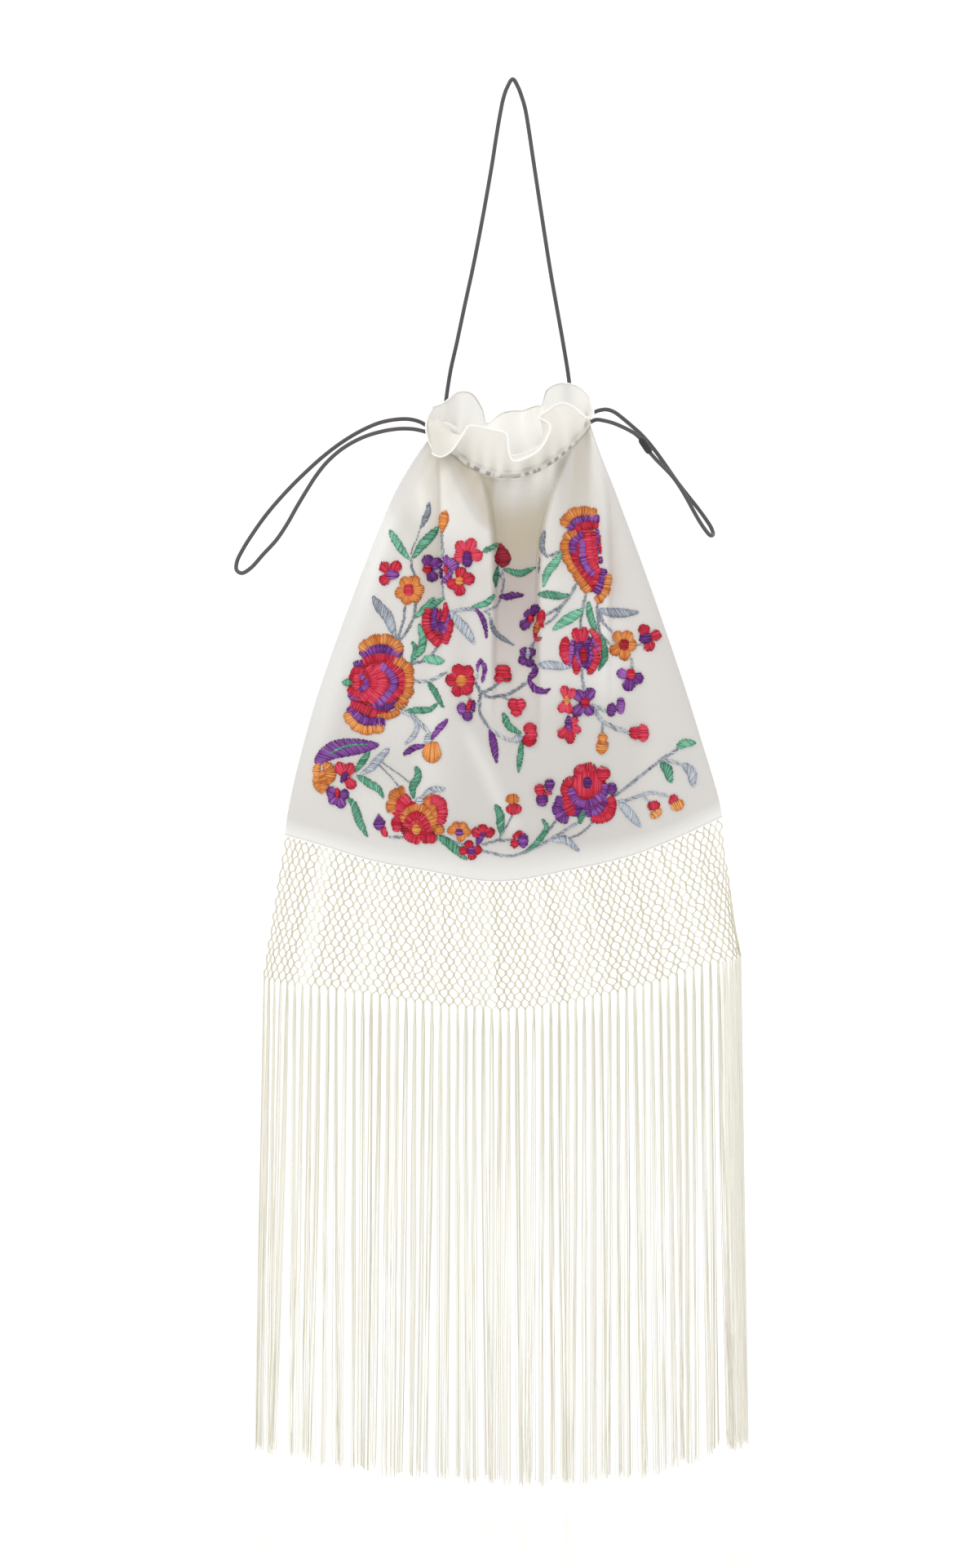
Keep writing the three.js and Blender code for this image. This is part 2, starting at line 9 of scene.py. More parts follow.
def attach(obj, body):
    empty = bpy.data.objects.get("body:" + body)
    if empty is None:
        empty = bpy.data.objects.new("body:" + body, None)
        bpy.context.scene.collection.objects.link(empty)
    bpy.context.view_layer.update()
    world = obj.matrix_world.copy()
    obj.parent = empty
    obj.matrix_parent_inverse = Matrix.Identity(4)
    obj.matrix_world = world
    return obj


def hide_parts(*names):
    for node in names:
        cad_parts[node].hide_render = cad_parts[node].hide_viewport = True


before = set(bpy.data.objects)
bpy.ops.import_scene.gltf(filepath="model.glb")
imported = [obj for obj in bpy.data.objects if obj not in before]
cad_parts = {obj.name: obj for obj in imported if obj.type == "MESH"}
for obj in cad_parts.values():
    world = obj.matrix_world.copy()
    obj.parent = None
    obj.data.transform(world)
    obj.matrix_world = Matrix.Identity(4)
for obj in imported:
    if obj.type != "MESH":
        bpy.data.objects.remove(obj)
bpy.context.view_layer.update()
scene = bpy.context.scene

# View
# A long lens, far off and a little above the bag, looks straight at its embroidered front.
# One unit of its frame is 0.42 mm in the middle of the bag.
FRAME_WIDTH, FRAME_HEIGHT = 1200, 1922
UNIT = 0.00042
AIM = Vector((-0.0118, 0.0, -0.3673))
TILT = math.radians(8)
LENS = 200
SENSOR = 36
reach = LENS / SENSOR * FRAME_HEIGHT * UNIT
lens = bpy.data.cameras.new("view")
lens.lens = LENS
lens.sensor_fit = "VERTICAL"
lens.sensor_height = SENSOR
lens.clip_end = 200
camera = bpy.data.objects.new("view", lens)
camera.location = AIM + Vector((0, -math.cos(TILT), math.sin(TILT))) * reach
camera.rotation_euler = (math.pi / 2 - TILT, 0, 0)
scene.collection.objects.link(camera)
scene.camera = camera
scene.view_settings.view_transform = "Standard"

# Handle cord
# A thin round cord, braided from dark grey thread, bent double at the top. Its two ends go
# down behind the ruffle and are sewn to the back of the neck.
CORD = 0.0021
HANDLE = [
    (-35.2, 17.6, 192.0), (-35.0, 18.6, 183.0), (-34.4, 18.6, 173.2), (-31.9, 17.2, 156.0),
    (-28.6, 14.6, 141.0), (-24.4, 11.4, 120.9), (-20.2, 8.6, 101.4), (-15.3, 5.8, 76.0),
    (-10.5, 3.4, 48.5), (-8.4, 2.4, 34.8), (-6.4, 1.4, 22.9), (-4.7, 0.7, 14.6), (-2.8, 0.3, 9.2),
    (0.0, 0.0, 4.9), (2.8, 0.3, 9.2), (4.8, 0.7, 14.6), (6.3, 1.4, 19.8), (8.2, 2.4, 30.7),
    (10.2, 3.8, 44.2), (14.7, 7.0, 73.9), (19.5, 10.8, 104.5), (22.7, 13.6, 122.7),
    (25.9, 16.6, 140.8), (28.6, 19.0, 157.4), (30.2, 20.0, 171.2), (31.0, 20.2, 183.0),
    (31.4, 19.6, 192.0),
]


def linear(code):
    """A colour written as an sRGB hex value, as the linear colour that a shader takes."""
    parts = [int(code[i:i + 2], 16) / 255 for i in (1, 3, 5)]
    return (*(c / 12.92 if c < 0.04045 else ((c + 0.055) / 1.055) ** 2.4 for c in parts), 1.0)


def add(tree, kind, sockets=None, **settings):
    """Adds one node with its settings, and gives each named or numbered socket a value or a link."""
    made = tree.nodes.new(kind)
    for key, value in settings.items():
        setattr(made, key, value)
    for key, value in (sockets or {}).items():
        if isinstance(value, bpy.types.NodeSocket):
            tree.links.new(value, made.inputs[key])
        else:
            made.inputs[key].default_value = value
    return made


def surface(name, **values):
    """A new material with its shader's constant values set. Returns the material, tree and shader."""
    material = bpy.data.materials.new(name)
    material.use_nodes = True
    shader = material.node_tree.nodes["Principled BSDF"]
    for key, value in values.items():
        shader.inputs[key.replace("_", " ").title().replace("Ior", "IOR")].default_value = value
    return material, material.node_tree, shader


def ramp(tree, fac, *stops):
    """A colour ramp from (place, colour) stops."""
    made = add(tree, "ShaderNodeValToRGB", {"Fac": fac})
    while len(made.color_ramp.elements) < len(stops):
        made.color_ramp.elements.new(0.5)
    for element, (place, code) in zip(made.color_ramp.elements, stops):
        element.position = place
        element.color = linear(code)
    return made.outputs["Color"]


def through(points, step):
    """A smooth line through points, as an array with a point every step."""
    p = np.asarray(points, float)
    p = np.vstack([2 * p[0] - p[1], p, 2 * p[-1] - p[-2]])
    fine = []
    for a, b, c, d in zip(p[:-3], p[1:-2], p[2:-1], p[3:]):
        ta = np.sqrt(np.linalg.norm(b - a)) + 1e-9
        tb = np.sqrt(np.linalg.norm(c - b)) + 1e-9
        tc = np.sqrt(np.linalg.norm(d - c)) + 1e-9
        into = (c - b) + tb * ((b - a) / ta - (c - a) / (ta + tb))
        out = (c - b) + tb * ((d - c) / tc - (d - b) / (tb + tc))
        t = np.linspace(0, 1, 24, endpoint=False)[:, None]
        fine.append((2 * t**3 - 3 * t**2 + 1) * b + (t**3 - 2 * t**2 + t) * into
                    + (3 * t**2 - 2 * t**3) * c + (t**3 - t**2) * out)
    line = np.vstack([*fine, p[-2][None]])
    along = np.concatenate([[0], np.cumsum(np.linalg.norm(np.diff(line, axis=0), axis=1))])
    count = max(2, int(round(along[-1] / step)) + 1)
    at = np.linspace(0, along[-1], count)
    return np.stack([np.interp(at, along, line[:, i]) for i in range(line.shape[1])], axis=1)


def solid(name, vertices, faces, material, uv=None):
    """A smooth mesh object at the origin. uv holds one pair for each corner of each face."""
    mesh = bpy.data.meshes.new(name)
    mesh.from_pydata(np.asarray(vertices).tolist(), [], [list(f) for f in faces])
    if uv is not None:
        layer = mesh.uv_layers.new(name="cloth")
        layer.data.foreach_set("uv", np.asarray(uv, np.float32).ravel())
    mesh.materials.append(material)
    mesh.polygons.foreach_set("use_smooth", [True] * len(mesh.polygons))
    piece = bpy.data.objects.new(name, mesh)
    scene.collection.objects.link(piece)
    return piece


def quads(rows, columns, joined_rows, joined_columns):
    """Faces of a grid of points and each corner's row and column. A joined edge meets the first."""
    r, c = np.meshgrid(np.arange(rows if joined_rows else rows - 1),
                       np.arange(columns if joined_columns else columns - 1), indexing="ij")
    corner_steps = ((0, 0), (1, 0), (1, 1), (0, 1))
    corners = np.stack([np.stack([r + a, c + b], axis=-1) for a, b in corner_steps], axis=-2)
    corners = corners.reshape(-1, 4, 2)
    return corners[..., 0] % rows * columns + corners[..., 1] % columns, corners


def sweep(name, line, radius, material, sides=14, ring=False):
    """A round cord along a line, with its length in the UV map in metres. A ring joins its two
    ends, and any other cord is closed at both. radius may have a value for each point."""
    ahead = np.gradient(line, axis=0)
    if ring:
        ahead = np.roll(line, -1, axis=0) - np.roll(line, 1, axis=0)
    ahead /= np.linalg.norm(ahead, axis=1)[:, None]
    side = np.cross(ahead[0], (0.3, 1.0, 0.2))
    angle = -np.linspace(0, 2 * np.pi, sides, endpoint=False)[:, None]
    rings = []
    for point, direction, half in zip(line, ahead, np.broadcast_to(radius, len(line))):
        side = side - direction * (side @ direction)
        side /= np.linalg.norm(side)
        rings.append(point + half * (np.cos(angle) * side + np.sin(angle) * np.cross(direction, side)))
    run = np.concatenate([[0], np.cumsum(np.linalg.norm(np.diff(line, axis=0), axis=1))])
    faces, corners = quads(len(line), sides, ring, True)
    run = np.append(run, 2 * run[-1] - run[-2])
    uv = np.stack([corners[..., 1] / sides, run[corners[..., 0]]], axis=-1).reshape(-1, 2)
    faces = faces.tolist()
    if not ring:
        last = (len(line) - 1) * sides
        faces += [list(range(sides)), list(range(last, last + sides))[::-1]]
        uv = np.vstack([uv, np.zeros((2 * sides, 2))])
    return solid(name, np.vstack(rings), faces, material, uv)


# A wave texture of scale 1 has a diagonal band every 0.628, and a straight one every half of it.
BAND = 0.628
BUMP = 0.0002


def bands(tree, scale, direction="DIAGONAL", **more):
    """Even bands over a piece's UV map, which the scale stretches first in each direction."""
    uv = add(tree, "ShaderNodeUVMap", uv_map="cloth").outputs["UV"]
    scaled = add(tree, "ShaderNodeMapping", {"Vector": uv, "Scale": scale}).outputs[0]
    values = {"Vector": scaled, "Scale": 1.0, **more}
    return add(tree, "ShaderNodeTexWave", values, bands_direction=direction).outputs["Fac"]


def relief(tree, shader, height, strength):
    """Fine relief on a surface, as deep as BUMP in metres at full strength."""
    bump = add(tree, "ShaderNodeBump", {"Height": height, "Strength": strength, "Distance": BUMP})
    tree.links.new(bump.outputs[0], shader.inputs["Normal"])


# Braided polyester cord: matt dark grey, with a fine diagonal plait in relief, its ridges painted
# lighter as a painted highlight.
# The plait is drawn at 1.4 mm, about twice its real pitch, so that it shows.
braided_cord, tree, shader = surface("braided_cord", roughness=0.62, sheen_weight=0.25)
PLAIT = 0.0014
strands = [bands(tree, (5 * BAND, turn * BAND / PLAIT, 1)) for turn in (1, -1)]
plait = add(tree, "ShaderNodeMath", {0: strands[0], 1: strands[1]}, operation="MAXIMUM").outputs[0]
tree.links.new(ramp(tree, plait, (0.35, "#2B282A"), (1.0, "#5B5658")), shader.inputs["Base Color"])
relief(tree, shader, plait, 0.6)


def route(points):
    """A cord's route from x, y and drop in millimetres, in metres, with a point every 0.7 mm."""
    return through(np.asarray(points, float) * (0.001, 0.001, -0.001), 0.0007)


def length(line):
    """The length of a line of points."""
    return float(np.linalg.norm(np.diff(line, axis=0), axis=1).sum())


line = route(HANDLE)
handle = sweep("handle_cord_braided", line, CORD / 2, braided_cord)
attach(handle, "root")
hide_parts("handle_cord")

# Drawcord
# One length of the same cord, which runs inside the gathered neck and is pulled out in a loop at
# each side. Its two ends are joined by a bound splice on the right loop.
LEFT_LOOP = [
    (-36.8, 9.46, 183.8), (-38.3, 7.7, 183.9), (-40.6, 6.5, 184.0), (-43.4, 6.0, 183.0),
    (-47.2, 5.6, 180.8), (-52.0, 5.2, 179.4), (-58.1, 4.6, 179.2), (-67.8, 3.0, 180.8),
    (-77.4, 1.8, 184.8), (-87.1, 0.8, 190.5), (-96.7, 0.2, 197.7), (-106.3, -0.4, 206.3),
    (-116.0, -1.0, 216.0), (-125.6, -1.6, 227.0), (-132.6, -2.2, 236.6), (-138.2, -3.0, 245.4),
    (-141.2, -4.2, 251.6), (-141.4, -6.6, 255.6), (-138.6, -9.2, 257.0), (-134.2, -10.2, 254.4),
    (-127.6, -10.0, 247.2), (-120.8, -9.4, 239.8), (-115.4, -8.8, 231.8), (-110.4, -8.2, 223.0),
    (-105.6, -7.8, 215.0), (-100.6, -7.4, 207.2), (-95.0, -7.0, 200.2), (-87.0, -6.8, 193.2),
    (-77.4, -6.7, 187.8), (-67.8, -6.8, 184.6), (-58.1, -7.0, 183.0), (-50.4, -6.9, 183.2),
    (-45.0, -6.8, 184.4), (-41.4, -6.7, 185.3), (-38.5, -7.8, 186.1), (-36.8, -9.46, 187.6),
]
RIGHT_LOOP = [
    (35.8, 9.46, 180.2), (37.3, 7.8, 179.4), (39.8, 6.7, 177.2), (42.4, 6.6, 175.6),
    (45.2, 6.8, 174.7), (48.6, 7.0, 174.5), (52.2, 7.0, 175.8), (55.8, 6.8, 178.4),
    (60.6, 6.6, 182.4), (65.6, 6.0, 186.8), (70.2, 5.2, 191.8), (74.9, 4.2, 197.8),
    (79.1, 3.2, 203.7), (84.0, 2.6, 210.7), (89.3, 2.4, 217.6), (94.3, 2.4, 223.9),
    (98.6, 2.2, 229.7), (101.8, 1.2, 234.6), (102.8, -1.6, 237.8), (101.2, -5.0, 238.0),
    (97.8, -6.6, 233.8), (93.9, -6.8, 227.5), (90.3, -6.6, 220.9), (86.3, -6.0, 214.0),
    (82.0, -5.2, 207.9), (77.4, -4.6, 203.0), (73.6, -4.6, 199.2), (70.4, -4.6, 195.6),
]
RIGHT_END = [
    (65.4, -4.6, 188.2), (62.4, -4.7, 185.6), (57.0, -5.2, 182.6), (51.0, -6.2, 180.0),
    (46.0, -4.6, 178.9), (42.8, -2.4, 178.8), (40.2, -1.8, 179.9), (37.8, -4.2, 181.6),
    (35.8, -9.46, 184.0),
]
NECK = {"left": -41.0, "right": 40.0, "depth": 24.0, "drop": 182.0, "tilt": 2.0, "front_sag": 23.0,
        "back_sag": 20.0, "back_from": 0.45}


def neck_drop(turn):
    """How far the drawcord's line is below the origin, in millimetres, at a turn in radians round
    from the front."""
    front = np.maximum(np.cos(turn), 0)
    back = np.maximum((-np.cos(turn) - NECK["back_from"]) / (1 - NECK["back_from"]), 0)
    sag = NECK["front_sag"] * front**2 + NECK["back_sag"] * back**2
    return NECK["drop"] + sag - NECK["tilt"] * np.sin(turn)


def neck_oval(turn, inset):
    """The neck's outline from above, moved in from the cloth's outer face. x and y in millimetres."""
    half = (NECK["right"] - NECK["left"]) / 2 - inset
    middle = (NECK["right"] + NECK["left"]) / 2
    return middle + half * np.sin(turn), -(NECK["depth"] - inset) * np.cos(turn)


def neck_run(first, last):
    """The drawcord's route inside the neck, between two turns in degrees."""
    turn = np.radians(np.linspace(first, last, 31))
    return route(np.stack([*neck_oval(turn, 0.75), neck_drop(turn)], axis=1))


# Waxed black binding thread, wound in close turns round the joined ends. Each turn is raised,
# and painted lighter on its crest as a painted highlight.
binding_thread, tree, shader = surface("binding_thread", roughness=0.5, sheen_weight=0.2)
BINDING = 0.0006
turns = bands(tree, (BAND, BAND / BINDING, 1))
tone = ramp(tree, turns, (0.2, "#0E0D0D"), (1.0, "#2C2A2A"))
tree.links.new(tone, shader.inputs["Base Color"])
relief(tree, shader, turns, 0.8)

SPLICE_RADIUS = 0.0019
join = route([RIGHT_END[0], RIGHT_LOOP[-1]])
share = np.linspace(0, 1, len(join))
swell = 0.62 + 0.38 * np.clip(np.minimum(share, 1 - share) / 0.16, 0, 1) ** 0.5
splice = sweep("cord_splice_bound", join, SPLICE_RADIUS * swell, binding_thread, 16)
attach(splice, "root")
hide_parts("cord_splice")

for name, node, line, far_end, pieces in (
    ("drawcord_left_loop_braided", "drawcord_left_loop", route(LEFT_LOOP), "object", []),
    ("drawcord_right_loop_braided", "drawcord_right_loop", route(RIGHT_LOOP), "knot", [splice]),
    ("drawcord_right_end_braided", "drawcord_right_end", route(RIGHT_END)[::-1], "knot", []),
    ("drawcord_front_braided", "drawcord_front", neck_run(-65.2, 65.2), "object", []),
    ("drawcord_back_braided", "drawcord_back", neck_run(114.8, 245.2), "object", []),
):
    piece = sweep(name, line, CORD / 2, braided_cord)
    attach(piece, "root")
    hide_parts(node)

# Pouch
# Two panels of thin ivory silk, sewn together along the sides and the bottom. The drawcord
# gathers them at the neck, and the fullness falls in soft folds that fade towards the seam.
POUCH = {
    "drop": (182, 198, 216, 265, 316, 354, 378, 390),
    "left": (-41, -52, -62, -81.7, -100, -110.6, -115.8, -117.4),
    "right": (40, 45.5, 52.5, 70.2, 87.4, 99, 106, 108.4),
    "front": (24, 27, 29, 29, 24, 15, 6, 1.2),
    "back": (24, 26, 26, 22, 17, 10, 4.5, 1.2),
}
SEAM = {
    "across": (-117.4, -96, -72, -48, -8, 33, 60, 87, 108.4),
    "drop": (394.6, 400.3, 407.2, 411.6, 417.9, 411.3, 404.9, 395.2, 385.8),
}
FRONT_FOLDS = (
    # top x, low x, side, depth, edge, run, from, to, roll
    (-38.5, -36, -1, 4.5, 2.5, 18, 0.0, 0.5, 0.8),
    (-17, -10.4, 1, 9.0, 3.5, 24, 0.0, 0.62, 1.6),
    (31, 14, -1, 9.0, 3.5, 24, 0.0, 0.7, 1.6),
    (38, 49, 1, 7.0, 3.5, 26, 0.0, 0.62, 1.2),
)
BACK_FOLDS = (
    (-24, -34, 1, 6.0, 7.0, 30, 0.0, 0.6, 0.0),
    (8, 14, -1, 7.0, 7.0, 28, 0.0, 0.7, 0.0),
    (28, 44, 1, 5.0, 7.0, 26, 0.0, 0.55, 0.0),
)
CORD_ROOM = 2.0


def ease(keys, values, at):
    """A smooth value between the rows of a table."""
    keys, values = np.asarray(keys, float), np.asarray(values, float)
    at = np.clip(at, keys[0], keys[-1])
    slope = np.gradient(values, keys)
    slope[1:-1] = (values[2:] - values[:-2]) / (keys[2:] - keys[:-2])
    i = np.clip(np.searchsorted(keys, at, side="right") - 1, 0, len(keys) - 2)
    span = keys[i + 1] - keys[i]
    t = (at - keys[i]) / span
    level = values[i] + (values[i + 1] - values[i]) * t * t * (3 - 2 * t)
    return level + t * (1 - t) ** 2 * span * slope[i] + t * t * (t - 1) * span * slope[i + 1]


def smooth(t):
    """An even rise from 0 to 1 that starts and ends gently."""
    t = np.clip(t, 0, 1)
    return t * t * (3 - 2 * t)


def stripe(value, middle, width):
    """A soft stripe: 1 at its middle, and falling away on both sides."""
    return np.exp(-(((value - middle) / width) ** 2))


def between(value, first, rise, last, fall):
    """1 between two limits, with a gentle rise after the first and a fall before the last."""
    return smooth((value - first) / rise) * smooth((last - value) / fall)


def pleats(turn):
    """The small gathers round the neck, uneven in width and depth, from -1 to 1."""
    uneven = 1.3 * np.sin(3 * turn + 0.6) + 0.9 * np.sin(7 * turn + 2.0)
    return np.cos(27 * turn + uneven) * (0.75 + 0.25 * np.sin(5 * turn + 1.0))


def seam_bend(share):
    """How far the seam's two ends bend back, in millimetres, at a share from -1 to 1 across."""
    reach = smooth((np.abs(share) - 0.55) / 0.45)
    return reach * np.where(share < 0, 5.0, 9.0)


def panel(facing, folds, share, down):
    """Points of a panel in millimetres, how deep each is in a fold and how near a fold's edge.
    share is from -1 to 1 across, down from 0 to 1."""
    turn = share * np.pi / 2
    place = NECK["drop"] + (POUCH["drop"][-1] - NECK["drop"]) * down
    left, right = (ease(POUCH["drop"], POUCH[key], place) for key in ("left", "right"))
    swell = ease(POUCH["drop"], POUCH["front" if facing < 0 else "back"], place)
    round_ = np.cos(turn)
    across = (left + right) / 2 + (right - left) / 2 * np.sin(turn)
    depth = np.zeros_like(across)
    slide = np.zeros_like(across)
    crease = np.zeros_like(across)
    for top_x, low_x, side, deep, edge, run, start, end, roll in folds:
        part = np.clip((down - start) / (end - start), 0, 1)
        past = (across - (low_x + (top_x - low_x) * (1 - part) ** 8)) * side
        full = np.sin(np.pi * np.sqrt(part))
        depth += deep * full * smooth(past / edge + 0.5) * stripe(np.maximum(past, 0), 0, run)
        slide += side * roll * full * stripe(past, 0, edge)
        crease += full * stripe(past, 0.2 * edge, 1.3)
    round_mouth = turn if facing < 0 else np.pi - turn
    ripple = 0.9 * pleats(round_mouth) * np.exp(-down / 0.055)
    wide = np.cos(9 * round_mouth + 1.2 * np.sin(2 * round_mouth))
    ripple += 0.9 * wide * np.exp(-down / 0.13) * smooth(down / 0.03)
    soft = 0.5 * np.sin(across / 11 + 3 * down) * between(down, 0.45, 0.2, 1, 0.25)
    if facing < 0:
        pucker = stripe(across, -12, 22) * between(down, 0.35, 0.15, 0.85, 0.2)
        soft += 0.35 * np.sin(across / 2.4 + 2 * down) * pucker
    recess = (depth + ripple) * round_ * smooth(swell / 14) + soft * round_
    away = facing * (0.15 + swell * round_ - recess) + seam_bend(np.sin(turn)) * down**3
    seam_x = SEAM["across"][0] + (SEAM["across"][-1] - SEAM["across"][0]) * (np.sin(turn) + 1) / 2
    top = neck_drop(round_mouth) + CORD_ROOM
    drop = top + (ease(SEAM["across"], SEAM["drop"], seam_x) - top) * down
    return np.stack([across + slide * round_, away, -drop], axis=-1), depth * round_, crease * round_


def cloth_grid(name, points, size, material, thickness=0, ring=False):
    """A cloth piece from a grid of points in millimetres. A thickness in metres makes it a wall,
    and a ring joins its last column to its first."""
    rows, columns = points.shape[:2]
    faces, corners = quads(rows, columns, False, ring)
    uv = np.stack([corners[..., 1] / columns * size[0], -corners[..., 0] / rows * size[1]], axis=-1)
    piece = solid(name, points.reshape(-1, 3) * 0.001, faces.tolist(), material, uv)
    if thickness:
        wall = piece.modifiers.new("wall", "SOLIDIFY")
        wall.thickness = thickness
        wall.offset = -1
    return piece


def sheer(tree, shader, colour, share):
    """Lets a share of the light through the cloth from behind."""
    behind = add(tree, "ShaderNodeBsdfTranslucent", {"Color": colour})
    mixed = add(tree, "ShaderNodeMixShader", {0: share, 1: shader.outputs[0], 2: behind.outputs[0]})
    tree.links.new(mixed.outputs[0], tree.nodes["Material Output"].inputs["Surface"])


# Ivory silk: a thin plain weave with a soft sheen, through which a little light passes. The
# weave is drawn at 0.7 mm, some three times its real pitch, so that it shows. "light" is painted
# light and shade: high where the cloth is painted pale as if lit, low where it is painted grey as
# if in shade. "deep" is the painted warm shade of gathers and folds, "blush" a painted pinkish
# shade in hollows and a pink patch painted where a hidden flower shows through a fold, "show"
# the dark cord seen through the casing, and "sheer" the share of light that a single layer lets
# through.
ivory_silk, tree, shader = surface("ivory_silk", roughness=0.52, sheen_weight=0.2, sheen_roughness=0.4,
                                   specular_ior_level=0.3)
WEAVE = 0.0007
weave = [bands(tree, (BAND / 2 / WEAVE,) * 3, direction, Distortion=0.4, Detail=1.0)
         for direction in ("X", "Y")]
crossing = add(tree, "ShaderNodeMath", {0: weave[0], 1: weave[1]}, operation="MULTIPLY").outputs[0]
tone = ramp(tree, add(tree, "ShaderNodeAttribute", attribute_name="light").outputs["Fac"],
            (0.0, "#C4C0BB"), (0.6, "#DEDCD8"), (1.0, "#FCFAF5"))
for name, far in (("deep", "#B4A688"), ("blush", "#A58F89"), ("show", "#9C978C")):
    amount = add(tree, "ShaderNodeAttribute", attribute_name=name).outputs["Fac"]
    tone = add(tree, "ShaderNodeMix", {0: amount, 6: tone, 7: linear(far)}, data_type="RGBA").outputs[2]
tree.links.new(tone, shader.inputs["Base Color"])
relief(tree, shader, crossing, 0.12)
sheer(tree, shader, tone, add(tree, "ShaderNodeAttribute", attribute_name="sheer").outputs["Fac"])


def tint(piece, **amounts):
    """Stores named amounts from 0 to 1 on a piece's vertices, for its material."""
    for name in ("light", "deep", "blush", "show", "sheer"):
        layer = piece.data.attributes.new(name, "FLOAT", "POINT")
        amount = amounts.get(name, np.zeros(len(piece.data.vertices)))
        layer.data.foreach_set("value", np.clip(np.asarray(amount, np.float32), 0, 1).ravel())


SILK_WALL = 0.0004
PANEL_HEIGHT = 225
panels = {}
for name, node, facing, folds, columns, rows in (
    ("front_panel_silk", "front_panel", -1, FRONT_FOLDS, 230, 180),
    ("back_panel_silk", "back_panel", 1, BACK_FOLDS, 150, 110),
):
    share, down = np.meshgrid(np.linspace(-1, 1, columns) * -facing, np.linspace(0, 1, rows))
    points, recess, crease = panel(facing, folds, share, down)
    piece = cloth_grid(name, points, (0.24, 0.225), ivory_silk, SILK_WALL)
    across = points[..., 0]
    turn = share * np.pi / 2
    spot = np.sin(turn)
    # Painted light and shade: the body is painted a grey shade, and the cloth palest, as painted
    # light, along the seam, where its allowance also lies doubled, at both sides and beside the
    # neck's right end.
    bottom = 1 - smooth(((1 - down) * PANEL_HEIGHT - 1) / (16 + 14 * stripe(across, -16, 48)))
    left = smooth((-across - 22) / 34) * (1 - 0.25 * smooth((-across - 66) / 22))
    left *= 1 - 0.55 * smooth((down - 0.55) / 0.4)
    right = 0.24 * smooth((across - 30) / 20) * (1 - 0.3 * smooth((across - 60) / 20))
    right *= 1 - 0.8 * smooth((down - 0.55) / 0.12) * smooth((74 - across) / 14)
    beside = 0.9 * smooth((across - 37.5) / 4) * np.exp(-down / 0.12)
    light = np.maximum(0.1 + 0.62 * left + right + beside, 0.7 * bottom)
    # Painted light on the back panel's inside near the neck, where it would lie in shade.
    if facing > 0:
        light = np.maximum(light, 1 - smooth(down / 0.25))
    # Painted shade: warmer and darker near the neck, in the gathers, along the edge of a fold and in
    # the upper hollows.
    gathers = smooth(0.5 + 0.5 * pleats(turn if facing < 0 else np.pi - turn))
    deep = 0.08 * np.exp(-down / 0.16) + 0.25 * gathers * np.exp(-down / 0.05) + 0.2 * crease
    low = smooth((down - 0.16) / 0.14)
    deep += 0.05 * recess * smooth((down - 0.02) / 0.1) * (1 - low)
    if facing < 0:
        # Painted shade in a wedge beside the left fold, and painted light on the cloth to its left.
        edge = np.interp(down, (0, 0.05, 0.106, 0.13), (-32, -25.6, -16, -8))
        deep += 0.3 * between(across, edge, 6, -8.5, 2)
        light += 0.4 * between(across, -38, 1.5, edge, 6) * (1 - low)
        # Painted shade on the right fold's top, and painted light in and beside the hollow between the
        # two.
        right_fold = between(across, 31 - 30 * down, 3, 41 + 30 * down, 4)
        deep += 0.2 * right_fold * (1 - smooth((down - 0.06) / 0.16))
        light += 0.5 * between(across, -9, 5, 26, 8) * stripe(down, 0, 0.07)
        light += 0.3 * stripe(across, 18, 6) * smooth((0.36 - down) / 0.1)
        light += 0.25 * stripe(across, -7.5, 4) * between(down, 0.12, 0.06, 0.42, 0.08)
        # Painted light in the middle, and painted shade on the left side.
        light += 0.22 * between(across, -28, 10, 62, 10) * between(down, 0.22, 0.08, 0.62, 0.12)
        light -= 0.38 * between(spot, -0.95, 0.12, -0.36, 0.14) * between(down, 0.12, 0.08, 0.88, 0.15)
        # Painted narrow lights and shades run down from the left end of the neck.
        from_neck = between(down, 0.02, 0.04, 0.22, 0.06)
        light -= 0.22 * stripe(across, -56, 9) * from_neck
        light += 0.2 * stripe(across, -46, 4) * from_neck * smooth((down - 0.07) / 0.04)
        deep += 0.25 * stripe(across, -38, 9) * stripe(down, 0, 0.08)
        deep += 0.28 * stripe(across, -45, 5) * between(down, 0.18, 0.06, 0.42, 0.08)
        # Painted light marks a ridge that slants down to the right, below the middle.
        ridge = 97 * (down - 0.69) - 16.4
        light += 0.3 * stripe(across, ridge, 4.5) * between(down, 0.58, 0.08, 0.9, 0.06)
    # Painted pinkish shade in the panels' lower hollows, and a pink patch painted beside the upper
    # right flower, where the flower's hidden part shows through the fold.
    flush = 0.3 * stripe(across, 50 + 40 * (down - 0.31), 6) * stripe(down, 0.3, 0.1)
    tint(piece, light=light, deep=deep, blush=0.045 * recess * low + flush * (facing < 0))
    panels[name] = piece
    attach(piece, "root")
    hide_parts(node)

